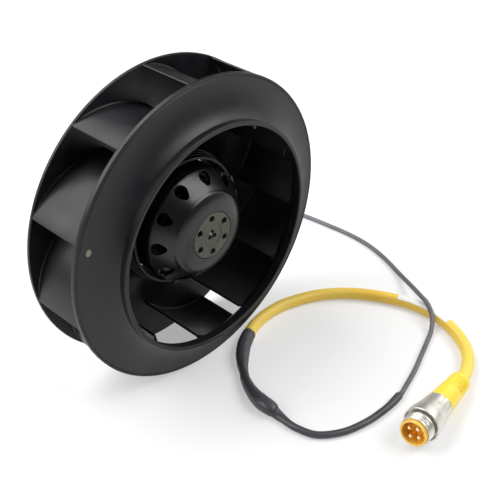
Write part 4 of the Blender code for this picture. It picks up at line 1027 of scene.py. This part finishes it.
lobe = [
    (LOBE, INSERT_WEB - 1), (LOBE, INSERT_FACE - RECESS_DEPTH - 0.25),
    (LOBE + 0.4, INSERT_FACE - RECESS_DEPTH + 0.15), (LOBE + 0.4, INSERT_FACE + 2),
]
bores = [(drill(pin_hole), place) for place in around(6, INSERT_HOLE_CIRCLE, pi / 6)]
bores += [(drill(lobe, 32), place) for place in around(3, LOBE_CIRCLE, pi / 2)]
cut(insert, *bores)
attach(insert, "impeller")
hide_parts("hub_insert")


# Rotor bell
# A deep-drawn steel cap, painted satin black, that carries the can.  Its gently domed face
# folds back into a cone, and 11 tear-drop windows are punched through the cone for air.
WINDOW_COUNT = 11
WINDOW_PHASE = radians(79.7)
WINDOW_WIDE = 4.6
WINDOW_NARROW = 2.2
WINDOW_LENGTH = 11.0
WINDOW_MARGIN = 0.9
BELL_FOOT = 42.6
BELL_TOP = 32.2
BELL_DEPTH = 11.0
BELL_BORE = 17.6
BELL_DOME = [                     # radius, height and rounding, from the bore to the cone
    (22.5, 5.95, 14.0), (27.0, 4.75, 8.0), (30.3, 2.9, 3.0), (31.8, 0.9, 0.7),
]
BELL_INSIDE = [(39.6, -BELL_DEPTH, 0.3), (29.3, -0.7, 1.5), (26.6, 1.6, 1.5), (20.8, 3.6, 0.4)]


def window_cutter():
    """Tear-drop cutter, wider where it leaves the outer face, so that the edge is chamfered."""
    wide_at = WINDOW_LENGTH / 2 - WINDOW_WIDE
    narrow_at = WINDOW_NARROW - WINDOW_LENGTH / 2
    side = pi / 2 + asin((WINDOW_WIDE - WINDOW_NARROW) / (wide_at - narrow_at))
    wide = [(wide_at, WINDOW_WIDE, -side + 2 * side * i / 24) for i in range(25)]
    narrow = [(narrow_at, WINDOW_NARROW, side + 2 * (pi - side) * i / 12) for i in range(13)]
    return loft([
        [((middle + (reach + grow) * cos(turn)) * MM, (reach + grow) * sin(turn) * MM, height * MM)
         for middle, reach, turn in wide + narrow]
        for height, grow in ((-6, 0), (-0.5, 0), (-0.15, 0.10), (0.12, 0.42), (6, 0.42))
    ])


bell = turned("drawn_rotor_bell", rounded([
    (BELL_BORE, 6.5, 0.4), *BELL_DOME, (BELL_FOOT, -BELL_DEPTH, 0.3), *BELL_INSIDE,
    (BELL_BORE, 3.6, 0.2),
]), fan_axis, black_paint, 220)
slope = atan2(BELL_DEPTH, BELL_FOOT - BELL_TOP)
back = WINDOW_MARGIN + WINDOW_LENGTH / 2
middle = Matrix.Translation(
    ((BELL_FOOT - back * cos(slope)) * MM, 0, (back * sin(slope) - BELL_DEPTH) * MM)
) @ Matrix.Rotation(slope, 4, "Y")
cut(bell, *[
    (window_cutter(), Matrix.Rotation(WINDOW_PHASE + i * tau / WINDOW_COUNT, 4, "Z") @ middle)
    for i in range(WINDOW_COUNT)
])
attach(bell, "impeller")
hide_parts("rotor_bell")


# Back plate
# Glass-filled nylon, moulded.  A flat disc under the blades curves up like a bowl into a
# stepped collar, which is pressed round the rotor can.
PLATE_FACE = -46.3
PLATE_BACK = -48.9
BOWL_OUTER = 74.0
BOWL_INNER = 50.0
BOWL_TOP = -32.0
COLLAR = 47.7
COLLAR_BORE = 45.6
COLLAR_FRONT = -19.8
COLLAR_STEPS = (                  # how far out and how far behind the collar's front
    (0, 0), (0, 3.2), (0.7, 3.2), (0.7, 6.2), (1.4, 6.2), (1.4, 9.2), (2.3, 9.2),
)
SEAT_BORE = BELL_FOOT
SEAT_FRONT = -33.0
SEAT_BACK = -36.0

# Glass-filled nylon, moulded and lightly spark-eroded: satin black with a soft grey sheen.
nylon = surface(
    "black_glass_filled_nylon", 0.40, (0.7, 0.010), (0.35, 0.46), ("#0e0f12", "#16171b"),
    4, ior=1.53
)
nylon.node_tree.nodes["Principled BSDF"].inputs["Specular IOR Level"].default_value = 0.36


def quarter(outer, top, inner, bottom, steps, turn=pi / 2):
    """Points of a quarter ellipse that leaves (outer, bottom) inwards and turns to the front."""
    return [
        (outer - (outer - inner) * sin(turn * i / steps) / sin(turn),
         bottom + (top - bottom) * (1 - cos(turn * i / steps)) / (1 - cos(turn)))
        for i in range(steps + 1)
    ]


def shifted(points, distance):
    """The same run of points, moved square to itself."""
    result = []
    for i, (x, y) in enumerate(points):
        a = points[max(i - 1, 0)]
        b = points[min(i + 1, len(points) - 1)]
        size = hypot(b[0] - a[0], b[1] - a[1])
        result.append((x - (b[1] - a[1]) / size * distance, y + (b[0] - a[0]) / size * distance))
    return result


bowl = quarter(BOWL_OUTER, BOWL_TOP, BOWL_INNER, PLATE_FACE, 16)
bowl_back = [p for p in shifted(bowl, PLATE_FACE - PLATE_BACK) if p[1] < SEAT_BACK - 0.4]
plate_outline = rounded([
    (RIM_RADIUS, PLATE_FACE, 0.5), (RIM_RADIUS, PLATE_BACK, 0.8),
    *[(x, y, 0) for x, y in bowl_back],
    (COLLAR, SEAT_BACK, 0.3), (SEAT_BORE, SEAT_BACK, 0.3), (SEAT_BORE, SEAT_FRONT, 0.3),
    (COLLAR_BORE, SEAT_FRONT, 0.4), (COLLAR_BORE, COLLAR_FRONT, 0.4),
    *[(COLLAR + out, COLLAR_FRONT - down, 0.5 if down == 0 else 0.3)
      for out, down in COLLAR_STEPS],
    *[(x, y, 0) for x, y in bowl[::-1]],
])
plate = turned("moulded_back_plate", plate_outline, fan_axis, nylon, 192)
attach(plate, "impeller")
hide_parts("back_plate")


# Blades
# Eleven blades, moulded in the same nylon.  Each is an arc that leans back from the rim,
# 1.8 mm thick, with small fillets where it is welded to the plate and to the inlet ring.
BLADE_COUNT = 11
BLADE_PHASE = radians(62.6)
BLADE_WALL = 1.8
BLADE_BEND = 68.0
BLADE_EXIT = radians(16)
BLADE_INNER = 79.0
BLADE_OUTER = 111.4
BLADE_FILLET = 1.0
FILLET_LEVELS = (0.15, 0.35, 0.6, 1.0)
FILLET_FADE = (5, 4)              # where the fillets run out, at the inner and the outer edge
BLADE_SINK = 0.1                  # how far its edges sink into the walls that it is welded to
BLADE_STEPS = 34
EDGE_TURNS = (radians(28), radians(55), radians(80))
SHROUD_WALL = 2.8
RIM_BAND = 3.8
LIP_OUTER = 84.8
LIP_ROOT = 9.6
FLARE_TURN = radians(65)

flare = quarter(RIM_RADIUS, LIP_ROOT, LIP_OUTER, 0.0, 24, FLARE_TURN)
flare_back = shifted(flare, SHROUD_WALL)
flare_back[0] = (RIM_RADIUS, -RIM_BAND)


def blade_angle(radius):
    """Angle from the trailing edge to where the blade's arc crosses a radius."""
    x = RIM_RADIUS - BLADE_BEND * cos(BLADE_EXIT)
    y = BLADE_BEND * sin(BLADE_EXIT)
    reach = hypot(x, y)
    along = (radius ** 2 - BLADE_BEND ** 2 + reach ** 2) / (2 * reach)
    return atan2(y, x) - atan2(sqrt(radius ** 2 - along ** 2), along)


def height_on(run, radius):
    """Height at a radius on a run of (radius, height) points that starts at the rim."""
    for (outer, low), (inner, high) in zip(run, run[1:]):
        if inner <= radius <= outer:
            return low + (high - low) * (outer - radius) / (outer - inner)
    return run[-1][1]


def fillet(distance, radius):
    """How much a blade's face stands out near the wall that it meets; it fades at both ends."""
    inner_fade = (radius - BLADE_INNER) / FILLET_FADE[0]
    outer_fade = (BLADE_OUTER - radius) / FILLET_FADE[1]
    fade = max(0.0, min(1.0, inner_fade, outer_fade))
    away = BLADE_FILLET - max(0.0, min(distance, BLADE_FILLET))
    return fade * (BLADE_FILLET - sqrt(BLADE_FILLET ** 2 - away ** 2))


def blade_shape():
    """One blade as a closed bmesh, its leading and trailing edges rounded."""
    half = BLADE_WALL / 2
    stations = []
    for i in range(BLADE_STEPS + 1):
        radius = BLADE_INNER + (BLADE_OUTER - BLADE_INNER) * i / BLADE_STEPS
        turn = blade_angle(radius)
        near = blade_angle(radius * 0.999)
        along = Vector((
            radius * cos(turn) - radius * 0.999 * cos(near),
            radius * sin(turn) - radius * 0.999 * sin(near),
        )).normalized()
        stations.append((Vector((radius * cos(turn), radius * sin(turn))), along, radius, 1.0))
    middle, along, radius, _ = stations[0]
    lead = [(middle - along * half * sin(a), along, radius, cos(a)) for a in EDGE_TURNS[::-1]]
    middle, along, radius, _ = stations[-1]
    trail = [(middle + along * half * sin(a), along, radius, cos(a)) for a in EDGE_TURNS]
    rows = []
    for middle, along, radius, thin in lead + stations + trail:
        side = Vector((-along.y, along.x))
        top = height_on(flare_back, radius)
        heights = [
            PLATE_FACE - BLADE_SINK, *[PLATE_FACE + level for level in FILLET_LEVELS],
            *[PLATE_FACE + (top - PLATE_FACE) * share for share in (0.2, 0.4, 0.6, 0.8)],
            *[top - level for level in FILLET_LEVELS[::-1]], top + BLADE_SINK,
        ]
        row = []
        for sign, run in ((1, heights), (-1, heights[::-1])):
            for height in run:
                away = min(height - PLATE_FACE, top - height)
                point = middle + side * sign * (half * thin + fillet(away, radius))
                row.append((point.x * MM, point.y * MM, height * MM))
        rows.append(row)
    return loft(rows)


for i in range(BLADE_COUNT):
    blade = finished(f"moulded_blade_{i + 1:02d}", blade_shape(), nylon, 40)
    blade.data.transform(Matrix.Rotation(BLADE_PHASE + i * tau / BLADE_COUNT, 4, "Z"))
    blade.matrix_world = fan_axis
    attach(blade, "impeller")
    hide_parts(f"blade_{i + 1:02d}")


# Inlet ring
# The trumpet-shaped front ring, moulded nylon, welded to the blades.  Its thin upright lip
# runs inside a fixed inlet nozzle; a shallow groove follows the rim.
EYE = 81.6
EYE_FRONT = 15.2
GROOVE = 110.6
GROOVE_HALF = 0.35
GROOVE_DEPTH = 0.35

face = [(x, y) for x, y in flare[2:] if x < GROOVE - GROOVE_HALF - 0.3]
ring_outline = rounded([
    (RIM_RADIUS, 0.0, 0.7), (RIM_RADIUS, -RIM_BAND, 0.6),
    *[(x, y, 0) for x, y in flare_back[1:]],
    (EYE, LIP_ROOT - 1.2, 1.2), (EYE, EYE_FRONT, 0.8), (LIP_OUTER, EYE_FRONT, 1.0),
    (LIP_OUTER, LIP_ROOT + 0.6, 0.1), (LIP_OUTER - 0.25, LIP_ROOT + 0.35, 0.1),
    *[(x, y, 0) for x, y in face[::-1]],
    (GROOVE - GROOVE_HALF, height_on(flare, GROOVE - GROOVE_HALF), 0.1),
    (GROOVE, height_on(flare, GROOVE) - GROOVE_DEPTH, 0.1),
    (GROOVE + GROOVE_HALF, height_on(flare, GROOVE + GROOVE_HALF), 0.1),
])
ring = turned("moulded_inlet_ring", ring_outline, fan_axis, nylon, 256)
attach(ring, "impeller")
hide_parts("inlet_ring")


# Paint spot
# A dab of olive beige inspection paint on the inlet ring, put on by hand: a thin oval film
# with a soft edge.
SPOT_RADIUS = 104.0               # from the fan's axis
SPOT_ANGLE = radians(161.3)
SPOT_LONG = 2.4
SPOT_SHORT = 1.8
SPOT_THICK = 0.12
SPOT_SINK = 0.05
SPOT_SIDES = 40

# Paint pen on nylon: a flat, dull olive beige, faintly streaked.
beige_paint, tree, shader = finish("beige_marking_paint", 0.55, ior=1.5)
_, fine, _ = grain(tree, shader, 0.5, 0.01, 0.48, 0.62)
shade(tree, shader, fine.outputs["Fac"], "#716d5b", "#86816c")

rings = []
for reach, lift in (
    (0.96, -SPOT_SINK), (1.0, 0.0), (0.9, 0.6 * SPOT_THICK), (0.7, 0.9 * SPOT_THICK),
    (0.4, SPOT_THICK), (0.05, SPOT_THICK),
):
    points = []
    for k in range(SPOT_SIDES):
        turn = tau * k / SPOT_SIDES
        radius = SPOT_RADIUS + SPOT_SHORT * reach * cos(turn)
        angle = SPOT_ANGLE + SPOT_LONG * reach * sin(turn) / SPOT_RADIUS
        height = height_on(flare, radius) + lift
        points.append(Vector((radius * cos(angle), radius * sin(angle), height)) * MM)
    rings.append(points)
spot = finished("inspection_paint_spot", loft(rings), beige_paint, 60)
spot.matrix_world = fan_axis
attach(spot, "impeller")


# Balance clips
# Two small clips of blued spring steel, pushed over the front edge of the plate's collar where
# the wheel needs weight.  They keep their solids.

# Blued spring steel: dark grey with a soft shine.
blued_steel = surface(
    "blued_spring_steel", 0.40, (0.7, 0.004), (0.32, 0.48), ("#3c3e42", "#5a5c60"), metallic=1.0
)
dress(blued_steel, "balance_clip_1", "balance_clip_2")


# Floor
# A plain pale sheet that the fan and its cord stand and lie on.  It belongs to the picture and
# is no part of the object.
FLOOR_HALF = 30
FLOOR_DROP = 0.2 * MM             # it lies this much under the lowest point of the fan
FLOOR_GLOW = 0.4

floor_mesh = bpy.data.meshes.new("floor")
floor_mesh.from_pydata(
    [(x * FLOOR_HALF, y * FLOOR_HALF, 0) for x, y in ((-1, -1), (1, -1), (1, 1), (-1, 1))],
    [], [(0, 1, 2, 3)]
)
floor = bpy.data.objects.new("floor", floor_mesh)
floor.location = (0, 0, -FLOOR_DROP)
bpy.context.collection.objects.link(floor)

# Matt pale board; part of its brightness is its own, so that it renders near white.
board, tree, shader = finish("matt_pale_board", 0.8)
shader.inputs["Base Color"].default_value = linear("#f2f2f2")
shader.inputs["Specular IOR Level"].default_value = 0.1
rays = add(tree, "ShaderNodeLightPath")
seen = add(tree, "ShaderNodeMath", {"operation": "MAXIMUM"}, {
    0: rays.outputs["Is Camera Ray"], 1: rays.outputs["Is Transmission Ray"],
})
seen = add(tree, "ShaderNodeMath", {"operation": "MAXIMUM"}, {
    0: seen.outputs[0], 1: rays.outputs["Is Glossy Ray"],
})
share = add(tree, "ShaderNodeMath", {"operation": "MULTIPLY"}, {
    0: seen.outputs[0], 1: FLOOR_GLOW,
})
white = add(tree, "ShaderNodeEmission", {}, {"Color": (1, 1, 1, 1), "Strength": 1.0})
mix = add(tree, "ShaderNodeMixShader", {}, {
    0: share.outputs[0], 1: shader.outputs[0], 2: white.outputs[0],
})
tree.links.new(mix.outputs[0], tree.nodes["Material Output"].inputs["Surface"])
floor_mesh.materials.append(board)


# Light
# Soft studio light: a large key panel to the left behind the fan, a second one high behind
# it, a panel in front to the right, a weak one at the right and a dim, even surround.
def panel(name, place, aim, size, watts):
    """A soft rectangular light that faces its aim."""
    data = bpy.data.lights.new(name, "AREA")
    data.shape = "RECTANGLE"
    data.size = size[0]
    data.size_y = size[1]
    data.energy = watts
    made = bpy.data.objects.new(name, data)
    made.location = place
    made.rotation_euler = (Vector(aim) - Vector(place)).to_track_quat("-Z", "Y").to_euler()
    bpy.context.collection.objects.link(made)


panel("key_panel", (-1.1, 0.7, 1.1), (0, 0, 0.1), (1.2, 1.0), 22)
panel("back_panel", (-0.1, 0.8, 1.5), (0, 0, 0.1), (1.2, 1.0), 18)
panel("front_panel", (0.65, -0.9, 1.25), (0, 0, 0.1), (1.2, 0.9), 17)
panel("right_panel", (1.5, -0.25, 0.8), (0.1, -0.1, 0.05), (1.4, 1.2), 6)

world = bpy.data.worlds.new("surround")
bpy.context.scene.world = world
world.use_nodes = True
sky = world.node_tree.nodes["Background"]
sky.inputs["Color"].default_value = (1, 1, 1, 1)
sky.inputs["Strength"].default_value = 0.12


def corners(box):
    return [[float(v) for v in corner] for corner in box]
